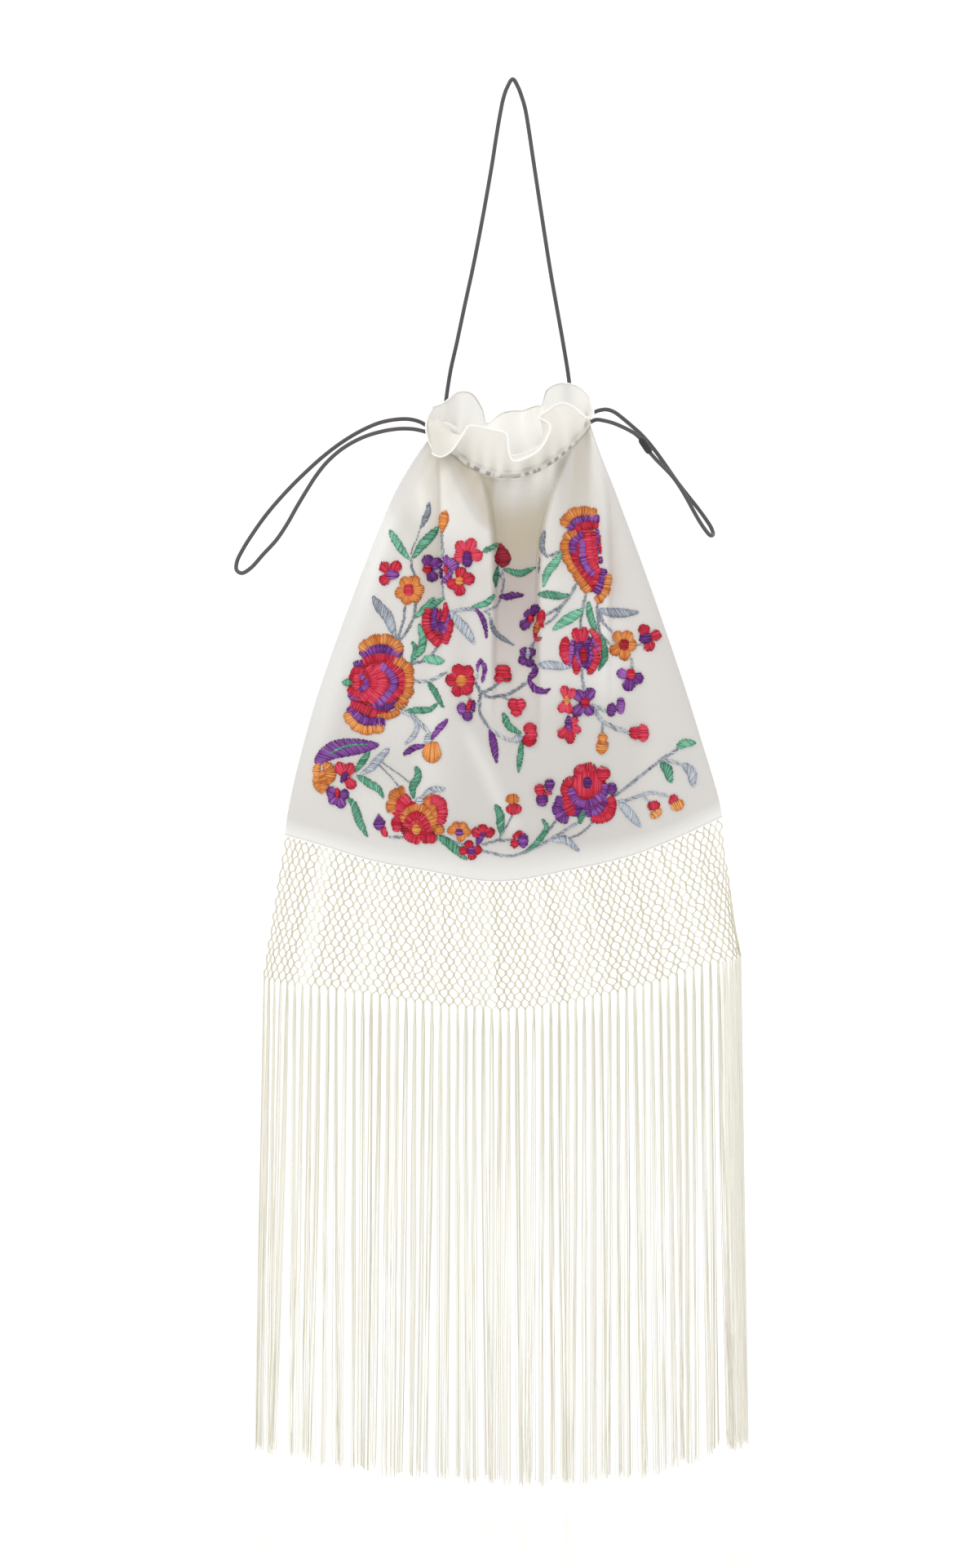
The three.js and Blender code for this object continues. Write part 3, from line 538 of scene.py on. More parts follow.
# Ruffle and casing
# The silk goes on above the drawcord as a free frill with a rolled hem. Some waves stand up and
# some fall outwards. At its foot a casing of two thin layers holds the cord, which shows through
# it in small dark dashes between the gathers.
WAVES = np.array((
    # turn, length, bend, slide
    (-90, 9, 10, 0), (-82, 12, 60, 5), (-74, 23, 160, 5), (-66, 29, 176, 2), (-58, 29.5, 176, 1.5),
    (-50, 26, 136, 5), (-44, 22.5, 92, 6), (-38, 22, 56, 5), (-26, 23, 38, 2), (-14, 23.5, 34, 1),
    (-6, 23.5, 42, 2), (-2, 22.5, 74, 0), (4, 21.5, 96, -2), (9, 22, 92, 1), (15, 22.5, 76, 4),
    (20, 23.5, 40, 5), (26, 22.5, 12, -4), (32, 23, 8, -4), (40, 23, 6, -3), (50, 22, 42, -3),
    (58, 19.5, 80, -1), (66, 14, 84, 0), (76, 9, 46, -1), (86, 7.5, 16, -1), (94, 7, 8, 0),
    (104, 10.5, 8, 0), (116, 13.5, 6, 0), (128, 18, 2, -1), (140, 23, 4, -2), (149, 24, 12, -3),
    (155, 20.5, 30, -2), (163, 22, 8, 0), (172, 23, 24, 0), (182, 23, 6, 0), (190, 21, 34, 0),
    (198, 16.5, 48, 0), (206, 19.5, 26, 3), (215, 22.5, 8, 3), (226, 19, 4, 2), (240, 11, 2, 1),
    (262, 9, 6, 0), (270, 9, 10, 0),
), float)
# How much of the outward fall goes sideways, the share of the length that bends, and the height
# in millimetres of one unit of the casing.
FLATTENING = 0.22
BENT = 0.6
CASING = 26
SLOTS = (
    # turn and half width in degrees, and how dark the cord shows
    (-43.4, 1.4, 0.4), (-32.8, 1.0, 0.8), (-25.9, 2.2, 1.0), (-16.9, 1.6, 1.0), (-13.2, 1.0, 0.4),
    (-0.8, 7.5, 0.55), (10.9, 1.5, 0.9), (16.6, 1.0, 0.8), (20.0, 1.0, 0.8), (28.2, 1.6, 0.9),
    (34.1, 1.6, 0.9), (40.5, 1.6, 0.9), (47.2, 1.5, 0.8), (54.3, 1.4, 0.5),
    (122, 1.8, 0.9), (133, 1.7, 0.9), (145, 1.8, 0.9), (157, 1.6, 0.9), (169, 1.8, 0.9), (181, 1.7, 0.9),
    (193, 1.8, 0.9), (205, 1.6, 0.9), (217, 1.8, 0.9), (229, 1.7, 0.9), (240, 1.8, 0.9),
)


def from_left(turn):
    """A turn in degrees from the neck's left end, by way of the front."""
    return (np.degrees(turn) + 90) % 360


def wave(turn, column):
    """One column of the ruffle's table at a turn in radians."""
    ring = np.vstack([WAVES[-2] - (360, 0, 0, 0), WAVES, WAVES[1] + (360, 0, 0, 0)])
    return ease(ring[:, 0], ring[:, column], from_left(turn) - 90)


def frill(turn, up):
    """Points of the ruffle in millimetres. up is from 0 at the casing to 1 at the hem, and below
    0 in the casing. The cloth bends in its lower part and goes straight on from there."""
    free = np.maximum(up, 0)
    casing = CASING * np.minimum(up, 0)
    length = wave(turn, 1)
    bend = np.radians(wave(turn, 2))
    stand = 4 * stripe(from_left(turn), 32, 11) * np.minimum(free / 0.15, 1)
    radius = BENT * length / bend
    angle = bend * np.minimum(free / BENT, 1)
    past = length * np.maximum(free - BENT, 0)
    gather = 0.9 * pleats(turn) * np.exp(-free / 0.26) * smooth(1 + casing / CORD_ROOM)
    puff = 0.8 * np.clip(1 - ((casing + CORD_ROOM) / CORD_ROOM) ** 2, 0, 1)
    out = radius * (1 - np.cos(angle)) + past * np.sin(bend) - gather + puff
    rise = CORD_ROOM + casing + stand + radius * np.sin(angle) + past * np.cos(bend)
    x, y = neck_oval(turn, 0.3)
    aside, ahead = FLATTENING * np.sin(turn), -np.cos(turn)
    size = np.hypot(aside, ahead)
    slide = wave(turn, 3) * free**2
    x = x + aside / size * out + slide
    y = y + ahead / size * out
    return np.stack([x, y, rise - neck_drop(turn)], axis=-1)


around = np.linspace(0, 2 * np.pi, 720, endpoint=False)
heights = np.concatenate([np.linspace(1, 0, 34), np.linspace(0, -2 * CORD_ROOM / CASING, 10)[1:]])
turn, up = np.meshgrid(around, heights)
show = np.zeros_like(turn)
for middle, half, dark in SLOTS:
    slant = 12 * (up + 0.08) * np.sign(middle)
    beside = np.abs((np.degrees(turn) - middle + slant + 180) % 360 - 180)
    show = np.maximum(show, dark * smooth((half + 0.9 - beside) / 1.5))
from_cord = np.abs(CASING * np.minimum(up, 0) + CORD_ROOM + 0.6)
show *= 0.9 * smooth((1.6 - from_cord) / 1.1)
ruffle = cloth_grid("ruffle_silk", frill(turn, up), (0.46, 0.03), ivory_silk, ring=True)
casing = smooth(-up / 0.08)
# Painted shade: the ruffle is warmer and darker in its gathers above the casing, in its curl at the front
# left, and at the front.
gathers = smooth(0.5 + 0.5 * pleats(turn)) * np.exp(-np.maximum(up, 0) / 0.25)
curl = stripe(from_left(turn), 32, 12) * smooth(up / 0.5)
warm = 0.3 * gathers * (1 - casing) + 0.14 * curl + 0.14 * smooth(np.cos(turn) / 0.4)
see_through = 0.3 + 0.3 * smooth(-np.cos(turn))
tint(ruffle, light=np.ones_like(turn), deep=warm, show=show, sheer=see_through)
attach(ruffle, "root")
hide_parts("ruffle")

# The casing's inner layer leans out to the ruffle's foot, above the cord.
turn, rise = np.meshgrid(around[::2], (2.5, 2.1, 1.4, 0.4, -1.0, -2.4))
x, y = neck_oval(turn, np.interp(rise, (-2.4, 0.4, 1.4, 2.1, 2.5), (2.3, 2.3, 2.0, 1.7, 1.35)))
lining = cloth_grid("casing_lining_silk", np.stack([x, y, rise - neck_drop(turn)], axis=-1), (0.2, 0.004),
                    ivory_silk, SILK_WALL, ring=True)
tint(lining, light=np.ones_like(turn))
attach(lining, "root")

HEM_RADIUS = 0.0005
hem_line = frill(around, np.ones_like(around)) * 0.001
rolled_hem = sweep("ruffle_rolled_hem", hem_line, HEM_RADIUS, ivory_silk, 8, ring=True)
# A touch of painted shade keeps the hem a little greyer than the ruffle.
tint(rolled_hem, light=np.full(len(rolled_hem.data.vertices), 0.9))
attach(rolled_hem, "root")

# Embroidery
# Flowers, leaves and stems in the manner of an old embroidered shawl, worked by hand in glossy
# rayon floss: satin stitch for petals and leaves, rope stitch for stems.

# Each line of the chart is a shape: its kind, colour and width, then the points of its middle
# line in the units of the view. Petals have the flower's centre, then each petal's tip. An oval
# or fill has no width: it has its centre and its radii. A + or - is a lighter or darker floss.
CHART = """
fill red 0 741,993 13,14
fill purple 0 688,990 8,14
fill red 0 697,984 9,14
fill purple 0 723,992 11,9
fill orange 0 527,985 9,12
fill red 0 541,990 7,12
fill orange 0 464,877.5 4,3
fill purple 0 530,769 3,3
stem blue- 3 504,687 505,695 509,705
dash blue- 1 515,648 510,662 505,674 504,687
stem blue 3 541.5,653 542,665 542.5,682
stem blue- 2 542,713 543.6,731
stem blue- 3 510,740 506,759 498,775 488.5,786
stem blue- 3 496,744.5 495,758 487,785
stem blue+ 4 552,751 564,747.6 574,746.6 583,747.6
stem blue 2.5 593,750 599,752 601,758
stem blue 2 595,749 608.5,742.5 613.6,735
stem blue- 3 537,790 531,800 518.6,809.6 502,813.7
stem blue 3.5 506,835.4 526,834.4 534,831.3 545.5,824
stem blue- 3.5 582.6,836.5 590,849
stem blue+ 3 584.7,827 582.6,836.5
stem blue- 3.5 590,849 601,844.7 610.5,837.5
stem blue- 3.5 590,849 598,854 613.6,853 629,847.8 644.6,836.5
stem blue 2.5 613.6,854 624,857
stem blue- 3.5 588.3,851 587.8,870.6 593,883 600,893
stem blue+ 3.5 600,893 610,900 628.6,908 640,903
stem blue 3 574.4,850 577,857
stem blue+ 5 489,870 506,878 528,900
stem blue- 2.5 617.6,710.5 616.3,722 613,732
stem blue 3 670,682 678.4,679.3 688,675
stem blue- 1.5 662,685 660.5,701
stem blue 3 708,713 696,734 687,743 669.4,754
stem blue- 2.5 691,740 678.4,758 669.4,765
stem blue- 2.5 717.6,730 712.3,756 711.4,769.5
stem blue 4.5 653.7,786 648,801
stem blue- 3 731.6,740 734,769.5 736.3,778
stem blue 3 734,749.4 739.8,763.6 749.3,774
stem blue 3 737.5,778 745.7,788
stem blue 2 779,791 785,789.6
stem blue 3.5 773,808 776,819
stem blue 3 713,822 714,834 715.6,846
stem blue+ 5 727,865 742,871
stem blue+ 5 728,870 738.6,884 754,892 770.5,898
stem blue- 2.5 738,886 738.6,898
stem blue 2.5 645.4,835.6 636,845
dash blue- 2.5 627.7,999.5 621.7,1011 613,1026
stem blue- 3 608.3,1030.5 626,1028.6
stem blue- 2.5 592,1035 610,1030
stem blue- 2 690,1030 712,1021 728,1006
stem blue 3 553,1031 591,1043 600,1045 623,1049 650,1042 676,1028 707,1009
stem blue 3 754.7,975 784,952 808,932.7 831,917.7
stem blue+ 3.5 757.6,983 768,981 785,975 799,971.7 817,975
stem blue+ 2.5 785,975 796.6,982
stem blue+ 4 809,932.7 822,932.7 836.8,937.8
dash blue- 1.2 465,938 477.6,950.7 491.4,966.7
dash blue- 1.2 469.5,935.7 490,949.5 502.8,959.8
stem blue 3 477,1026 492,1026
leaf green+ 9.5 477.5,651 485.5,663.4 493.6,675 502,685
leaf green 11 536.4,646 526.6,658 516.8,669.6 507,684
leaf green 6 592,677 601,672 610,666
leaf green- 6.5 609.6,695.4 607.8,707 607.4,718.6
leaf green- 7.5 618,698 629.3,701.6 638,702.5 656,695.4
leaf green 7 605.4,729 597,738.3 587.8,742.5 578.5,744.5
leaf green 6 532,732 524,741 514,752 508,757
leaf green+ 7 544.5,733 534,739 522,748 508,757
leaf green 9.5 513,766 518,780 516,796 504.5,811
leaf green 5.5 505,787 509,796 504,811
leaf green+ 12 519.6,809.6 531,808.5 544.5,809.5
leaf green 7 524.8,836.5 534,850 543.4,866.4
leaf green 7.5 498,872 513.4,870.6 525.8,869.5 536.2,862.3
leaf green+ 10 687.3,677.5 680,690 672,700.7 666,718.6
leaf green 9.5 660.5,729.3 674,729.3 687.3,730.2 697,729.3
leaf green+ 12 714,746.3 700.7,756 678.4,772
leaf green 8 721,738 723.3,754 731.6,775.4
leaf green- 8 736.3,778 740,793 741,807 734,821.4
leaf green 8 616.3,874.3 623.5,889.6 638.8,898.8
leaf green 7 638.8,910 637.8,924 635.7,946
leaf green 8 451.7,920.8 444.3,933.4 436.3,946
leaf green 9 437.4,950.7 453.5,961 463.8,966.7 470,977.6
leaf green 10 509.7,939.7 512,950.7 506.3,965.6 507.4,978.2
leaf green 9.8 426.5,979 433.4,987 439,1002 446,1017 450.6,1025
leaf green 11 536,1025 553,1036 572,1053
leaf green 10 607,987.5 612.6,999 613.8,1011 615,1024
leaf green 6.5 664.7,1004.4 669.5,1013.5 661.7,1028.6 643,1046
stem blue- 2.5 680.5,1006 672,1018 642,1046
leaf green+ 11 831,917.7 840.2,910.8 851.7,909.7
leaf green 12 809.2,937.2 818.4,945.3 823,958.5
leaf purple- 8 612.7,732.4 622,731.5 630,729.5 641.7,729.3
leaf purple- 5.5 582.6,746 591,757 595,769.3 596.6,782.2
leaf purple 5 588,808 594,818 593,828 591,836.5
leaf purple+ 3.5 588,808 586,815 585.5,823
leaf purple 9 653.7,814.3 655,823 647.8,834.4
leaf purple 8 647.2,834.4 655,843.8 668,847 673.8,844.4
leaf purple- 9 600,894 605,912 609.2,934.5
leaf purple 23 388.6,935.7 403,924.2 419,917.4 437.4,914 463.8,912.2
leaf purple+ 7.5 547.6,881.8 537.3,894.4 529.2,907
leaf purple 7.5 494.8,925.4 508.6,916.2 521.2,913.3
leaf blue- 6.5 525.7,616.5 524,628.5 520.4,638.4 515.4,647.3
leaf blue 13 457.3,732.8 464.5,744 475.7,756.7 485,781
leaf blue+ 12 552.7,751.8 562,763 572.3,773.5 581.6,789
leaf blue-- 5 601.2,758 604.3,771.4 613.6,780.7 630.2,790.5
leaf blue- 5.5 667.2,651 665,661.4 666,675.7 671,683
leaf blue 11 735,748.3 748,751 765.8,751 782.3,750
leaf blue+ 10.5 659.6,816 677.3,815.5 699.7,817.3
leaf blue+ 5.5 497,911.6 507.4,901.3 511,887.5 504,878.3
leaf blue+ 9 475.9,916.8 462.7,932.3 453.5,942.6 442,949.5
leaf blue+ 7 545.3,966.7 529.2,968.5 516,979
leaf blue+ 9 678,1030 694,1030 709,1042
leaf blue+ 11 758.7,984.3 772.5,998 785,1012.4
leaf blue+ 12 836.8,937.8 847,947.6 850.5,963.6
leaf blue+ 6 611.4,693.6 613.5,701 617,709.6
lobe blue+ 9 514.3,977.5 514.3,986.5
lobe blue+ 9 524.6,900.5 524.6,911.5
lobe blue+ 8 629,907 640,904.5
flame green 2.4 405,923 423.6,914.5 437,912.5 451,911.5
fill red- 0 464,838 28,38
fill purple 0 468,800 19,7
fill red- 0 440,838 13,22
scallop orange 11 443,797 449,791 458,785.5 470,784 480.5,786.5 487.5,793 490.5,800
arc purple 11 444,804 449.5,800 459,796 470,795 479,797 486,801 490.5,805
arc red 9 446,810.5 455,807 466,805 477,806 486,807
arc red 10 452,818 458,826 460,834 458,843 451,851 444,858
arc red+ 12 461.5,816.5 467,825 469.5,834 467.5,843 461.5,852.5 455,860.5
arc purple+ 10 467,815.5 475.5,821.5 481.5,829.5 484,837 480.5,846 473.5,854.5 466,861 459,865.5
arc red 9 475.5,811 484,818 491,826 494,835.5 492.5,845 485.5,852.5 476,858.5
scallop orange 10 483,809 492.5,813 500.5,821 501,830.5 501,839 500.5,847.5 495,856 492.5,863 485.5,866.5
arc orange 7 467,876.5 475.5,877.5 485,874 488,870.5
arc purple- 8 459,868 468.5,867 478,865.5 486.5,858.5
arc red 10 430.5,863 440,866.5 450.5,870.5 461.5,876
arc purple 10 428,867 435,875 444.5,882 455,885 465,884.5 472,884.5
scallop orange+ 10 470.5,890.5 463.5,892 455,894 444.5,894 436,889 429,881 426.5,873
arc purple 7 435,816.5 440,813 444.5,815
arc red 7 432.5,822.5 439.5,821.5 446,823.5
oval red+ 0 438,835.5 5.6,8.6
arc purple 7 441,827.5 447,833 452,838 447,843 439.5,846.5
arc red 6 427,844 434,850 443.5,850
arc purple 5 428,850 432.5,856 441,856
flame green 8.6 421,836 432.5,837
fill red- 0 713,660 17,24
fill red- 0 724,702 10,24
scallop orange 10 692,645.5 694,637.5 700.5,630.5 710,627 721,628 730,629
arc purple 8.5 696,648.5 703,641 713,636 723.5,634.5 733.5,637
arc red- 8 705,649 713,645 722,643 732.5,644
scallop orange 8.5 721,724.5 714.5,715.5 708,706 703,697.5 696,687 693,676 692.5,665.5 697,657 706,653
arc purple 9 713,654 705.5,660 701.5,668 701.5,678
arc red 8 707.5,673.5 704,684 708.5,695 716.5,705.5 725.5,715.5
arc purple+ 8 714,662 713,674.5 715.5,688.5 722,699.5 728,704.5
arc red+ 9 720,654.5 721,665.5 722.5,679.5 727,693 731.5,700
arc red 6.5 727,654 727,665.5 728,678 731.5,688.5
arc purple 4 731.5,650 731.5,660 730.5,670.5 731.5,678
arc red 3 733.5,656.5 734.5,667 735,678
arc purple 4.5 736,683 736,690.5
arc red 7 732.5,695.5 730.5,706.5 728,717
arc purple 8.5 739,697.5 738,708 734.5,719 730,727
scallop orange 8 744,704 744,713.5 741.5,724.5 736,733 730.5,736
fill red- 0 512,1006 25,24
fill red- 0 494,985 11,12
scallop orange 10.5 482.5,995 480,989.5 481,981 486.5,972 496,969.5
arc red 13.5 501,976 494,982.5 489.5,991.5 487.5,1000
arc orange 8 492.5,1005.5 496,996 504,990.5 511.5,988.5 520,991.5 526,998 530.5,1007.5 533,1017
arc red 9 498,1012.5 501,1004 508.5,999 517,1001 523,1008.5 527.5,1018
arc red 6 503,1017 505.5,1009.5 511.5,1005.5 516,1009.5 519,1017
oval orange 0 510.5,1015.5 5.7,6.7
oval red 0 486.5,1009.5 6.7,9.6
arc red 8.5 496,1021 504.5,1027.5 514.5,1030.5
arc red 10.5 517,1027.5 526.5,1027.5 534.5,1027.5
arc orange 6 524,983.5 530.5,990.5 534,999 535,1008.5
arc red+ 10.5 526.5,980 536.5,981 542,990.5 542,1001 538,1008.5
oval orange 0 539,1016.5 5.7,5.7
fill red- 0 720,966 24,24
fill purple- 0 704,990 12,10
scallop red 8.5 706.5,950.5 710.5,943.5 719,940.5 725,941 727.5,945
oval red 0 739,948 8.8,8
arc red 8.5 700.5,955 694.5,960 692,968 693,974
lobe red+ 36 704,960 737,960
oval purple- 0 719.5,958.5 6.1,7.3
arc purple 10 699.5,966.5 701.5,974.5 706.5,981 715,984.5 724,984 732.5,978.5 740.5,969.5 742,961.5
oval purple 0 749.5,966.5 6.5,6.9
arc red 11.5 693,977 695,985.5 699,992.5 703,997
scallop purple 9 696,1004.5 688.5,1003 683.5,995.5 683.5,985.5 688.5,978
leaf green 8.5 714,991 711.5,1009
arc purple 9 721,995.5 728,995.5 735,991 740.5,983 742,978
arc red 9 725,1001.5 734,1004 743.5,1001.5 748.5,994 750.5,984.5 746.5,977
oval red 0 661.5,968 6.1,6.9
oval purple 0 673.5,961.5 6.1,6.9
oval red 0 672,971.5 4.6,2.7
oval purple 0 664.5,980 7.3,7.3
fill purple- 0 541,763 9,13
fill red- 0 537,778 8,10
arc red 9 526,746 522.5,759 524,772 530.5,782 539.5,790
arc red 7.5 552,760 550,774 544.5,788
lobe purple 9 535,745 532,760 538,775
lobe purple- 10 541,750 541,776
lobe purple+ 8 549.5,753 547.5,764 543.5,777
flame red 6.5 545.5,738.5 546.5,750 543.5,762
flame red 4 541,747 537,760
fill purple- 0 714,800 13,18
lobe red 13 694,781 692,796 695.5,814
petals red 13 712,792 704.5,770 717,768.5
lobe red+ 9 723.5,771.5 731,781 734.5,799
lobe red 11 707,800 706.5,826
lobe red 12 727,793 730,806 722,826
lobe purple+ 8 702,785 699,800 697,816
lobe purple- 12 710,780 709,796
lobe purple- 11 719,779 719.5,795
lobe purple+ 7 725,781.5 730,790 732.7,802.5
flame purple+ 4.5 707.5,796 708,808 712.5,816.5
flame purple 5 718,819 723,810 724,800 722.5,792
flame purple- 7 712,816 721,814
oval red- 0 714.8,802.5 5,8.8
petals red 14 481,704 467,690.5 489,688.5 466.5,715
oval purple+ 0 481,704.4 8,5.4
petals purple- 15 525,698 524,680 541.5,686.5 533.5,712
oval red- 0 523.9,697.3 5.5,5.4
petals orange 15 502,723 494,707.5 511,706.5 520,723 514,737 497,741 484.5,729
oval red 0 501.6,723.2 6.7,7.6
petals purple+ 8 547,697 547,680.5
petals purple+ 15 547,697 561,688.5
lobe purple+ 7 542.7,714 549,706.5 554.5,700
lobe purple- 3 541.3,697 541.3,709
oval red 0 546.7,697.7 3,4.8
petals red+ 15 573,681 560.5,664 579.5,660 591.5,681 557,683
oval purple- 0 572.6,685.5 6.7,9
petals red 15 563.5,712 566,695.5 581.5,708 563,730.5 548,717.5
oval orange+ 0 563.2,712 5.5,5.2
petals red 16 565,834 559,814.5 577,817 582.5,834 576,851 559,853.5 546,833
oval orange 0 565.6,834 7.7,6.7
petals purple- 13 651.5,757 659,741.5 645,748.5 638.5,770.5
oval red 0 650.7,758 3.6,5
lobe red 9.5 664.5,748.5 662.5,764
lobe red 13 661.5,762 659,785
flame orange 4.6 661,762 658.8,775
petals purple- 12 646.5,806 640,794.5 636.5,812 654,795 651,817
oval blue 0 647.2,801 2.8,6.5
petals orange 15 764,790 753.5,775 771.5,774 780,791 766,809.5 748,800.5
oval red- 0 764,790 6.8,6.8
petals red 14 793,782 786.5,766 810,777 797,798
oval purple- 0 790.6,782.5 7,6.5
petals purple+ 14 772,828 756.5,824
petals purple 16 772,828 769.5,847
petals purple- 15 772,828 788,834
oval red 0 772.3,826 6,6
petals red+ 11 694.5,858 690.5,840.5 704.5,844.5 686,873 698.5,875
oval orange+ 0 694.4,858 3.3,6
petals purple 14 716,861 705.5,847 726.5,844 703,877 725,876.5
oval red 0 716.8,860.3 5.3,5.3
petals red+ 11 697,891 706.5,879 712,896
petals red 13 697,889 685.5,904 699.5,911.5
oval purple 0 696.8,887 4,9.4
lobe orange 15 739,906 737,923
oval orange+ 0 738.6,904 5.5,5.3
lobe purple 11 751,862.5 748,877.5
lobe purple+ 10 761,855.5 760.5,874
oval red 0 778.5,898.5 7.5,7.5
oval red+ 0 787.8,898.2 7,10.4
oval red 0 649.5,893 8,7
oval red 0 648.5,907 8.5,7.5
oval red+ 0 652,900 6.5,6
oval red 0 616.5,821.5 9.5,6.5
oval red 0 612,830.5 6.3,5.7
oval red- 0 621.5,829.5 5.5,6.5
oval red 0 629,863 6.5,7
oval red+ 0 638.5,863.5 6,7
oval red 0 633,872.5 6.5,5.5
oval purple+ 0 566,868.5 5.7,7.2
oval purple 0 573,876.8 6.3,6
lobe purple- 5 580.5,858.5 579.5,872
flame red 5 577,857 572.5,873
lobe orange 14 397,936 405,944 404,959
lobe orange+ 9 391,934.5 388,945 392,958
lobe orange 9 386,951 389,962 395,971.5
lobe orange 13 394,945 398,957 396,970
petals red 14 423.5,952 414,935 432,936 434.5,966
flame purple- 7 426,945 419,958
petals purple 13 414,974 401,968 404.5,984.5 420,990 427.5,973
oval red 0 413.9,971.9 2.5,6
petals orange 11 563,1019 549,1017 557,1008 571,1009 577,1020 566,1031
oval purple 0 563,1019 5.3,4.5
petals red 12 592,1023 578.5,1018 592,1010.5 606,1018
flame purple 7 593,1019 585,1034
petals red 11 576.5,1042 562,1043 573,1030.5 591,1041 580,1053.5
oval purple 0 578,1042 5.7,4.3
drop orange 11 542.2,653 543.6,640 545.8,626.5
drop darkred 20 613.5,666 616,681 616.5,695
drop purple 14 464,998 465.5,1017
leaf red 9 466.5,1014.5 475,1024
petals orange+ 25 531,903 528.5,935
drop red 11 820,984 829.5,976
lobe orange+ 14 823,989.5 837,984
lobe red 11 794,989 808,985.5
lobe orange+ 10 798,1001.5 810,992.5
lobe orange 12 620.5,979.5 636,979.5
lobe red 13.4 620.7,991.7 638.3,991.7
lobe red 6 628.5,1026.5 640,1019.5
lobe red 9.5 630.8,1028 630.8,1039
lobe purple 13 641,1022 641,1038
"""
FLOSS = {
    # dark, middle and light tones
    "red": ("#8A0A20", "#C41032", "#E4506A"),
    "darkred": ("#6E0C1E", "#98142A", "#B83048"),
    "purple": ("#42134F", "#6C2482", "#A468BA"),
    "orange": ("#A6561C", "#CE7632", "#F0AC62"),
    "green": ("#2C6A4E", "#4F9276", "#8ACCAE"),
    "blue": ("#6C717C", "#9AA2AE", "#CCD2DA"),
}
FLOSS_THICKNESS = 0.00062
STITCH_STEP = 1.0


def thread_tree():
    """Geometry Nodes that turn every line of edges into a round thread. The "swell" attribute
    thickens it from place to place."""
    tree = bpy.data.node_groups.new("threads", "GeometryNodeTree")
    for name, kind, way in (
        ("Geometry", "Geometry", "INPUT"), ("Thickness", "Float", "INPUT"), ("Sides", "Int", "INPUT"),
        ("Material", "Material", "INPUT"), ("Geometry", "Geometry", "OUTPUT"),
    ):
        tree.interface.new_socket(name, in_out=way, socket_type="NodeSocket" + kind)
    given = add(tree, "NodeGroupInput").outputs
    half = add(tree, "ShaderNodeMath", {0: given["Thickness"], 1: 0.5}, operation="MULTIPLY").outputs[0]
    round_ = add(tree, "GeometryNodeCurvePrimitiveCircle", {"Resolution": given["Sides"], "Radius": half})
    lines = add(tree, "GeometryNodeMeshToCurve", {"Mesh": given["Geometry"]})
    swell = add(tree, "GeometryNodeInputNamedAttribute", {"Name": "swell"}, data_type="FLOAT")
    tubes = add(tree, "GeometryNodeCurveToMesh", {
        "Curve": lines.outputs[0], "Profile Curve": round_.outputs[0],
        "Scale": swell.outputs["Attribute"], "Fill Caps": True,
    })
    shaded = add(tree, "GeometryNodeSetShadeSmooth", {"Geometry": tubes.outputs[0]})
    real = add(tree, "GeometryNodeRealizeInstances", {"Geometry": shaded.outputs[0]})
    dyed = {"Geometry": real.outputs[0], "Material": given["Material"]}
    made = add(tree, "GeometryNodeSetMaterial", dyed)
    add(tree, "NodeGroupOutput", {0: made.outputs[0]})
    return tree


THREADS = thread_tree()


def threads(name, lines, thickness, sides, material, swell=1.0, shade=0.0):
    """A piece made of round threads. lines is threads by points by 3, in metres, and swell and
    shade have a value for each point or thread."""
    lines = np.asarray(lines, float)
    count, steps = lines.shape[:2]
    index = np.arange(count * steps).reshape(count, steps)
    edges = np.stack([index[:, :-1].ravel(), index[:, 1:].ravel()], axis=1)
    mesh = bpy.data.meshes.new(name)
    mesh.from_pydata(lines.reshape(-1, 3).tolist(), edges.tolist(), [])
    for key, value in (("swell", swell), ("shade", shade)):
        layer = mesh.attributes.new(key, "FLOAT", "POINT")
        value = np.asarray(value, np.float32)
        value = np.broadcast_to(value[:, None] if value.ndim == 1 else value, (count, steps))
        layer.data.foreach_set("value", np.ascontiguousarray(value).ravel())
    piece = bpy.data.objects.new(name, mesh)
    scene.collection.objects.link(piece)
    spun = piece.modifiers.new("threads", "NODES")
    spun.node_group = THREADS
    values = {"Thickness": thickness, "Sides": sides, "Material": material}
    for item in THREADS.interface.items_tree:
        if item.in_out == "INPUT" and item.name in values:
            spun[item.identifier] = values[item.name]
    made = bpy.data.meshes.new_from_object(piece.evaluated_get(bpy.context.evaluated_depsgraph_get()))
    piece.modifiers.remove(spun)
    piece.data = made
    return piece


front = panels["front_panel_silk"].data
cloth = BVHTree.FromPolygons([v.co for v in front.vertices], [p.vertices for p in front.polygons])
turned = camera.rotation_euler.to_matrix()


def on_cloth(x, y, lift):
    """The place on the front panel at a point of the view, lifted off the cloth in metres."""
    size = SENSOR / FRAME_HEIGHT / LENS
    ray = turned @ Vector(((x - FRAME_WIDTH / 2) * size, (FRAME_HEIGHT / 2 - y) * size, -1))
    spot, normal, _, _ = cloth.ray_cast(camera.location, ray.normalized())
    if spot is None:
        return None
    return spot + normal * (lift if normal @ ray < 0 else -lift)


# Where a stitch has its points, and the jump in depth, in metres, that tells of a fold's edge.
PARTS = (0, 0.1, 0.36, 0.64, 0.9, 1)
JUMP = 0.003


def stitch(a, b, height):
    """One stitch between two points of the view, raised in the middle. It stops at a fold's edge."""
    for _ in range(3):
        lifts = [height * min(1, 12 * part * (1 - part)) - 0.0001 for part in PARTS]
        points = [on_cloth(*(a + (b - a) * part), lift) for part, lift in zip(PARTS, lifts)]
        if None in points:
            return None
        jumps = np.abs(np.diff([point.y for point in points]))
        worst = int(jumps.argmax())
        if jumps[worst] < JUMP:
            return points
        if worst > 2:
            b = a + (b - a) * PARTS[worst]
        else:
            a = a + (b - a) * PARTS[worst + 1]
    return None


rng = np.random.default_rng(7)
sewn = {name: ([], []) for name in FLOSS}
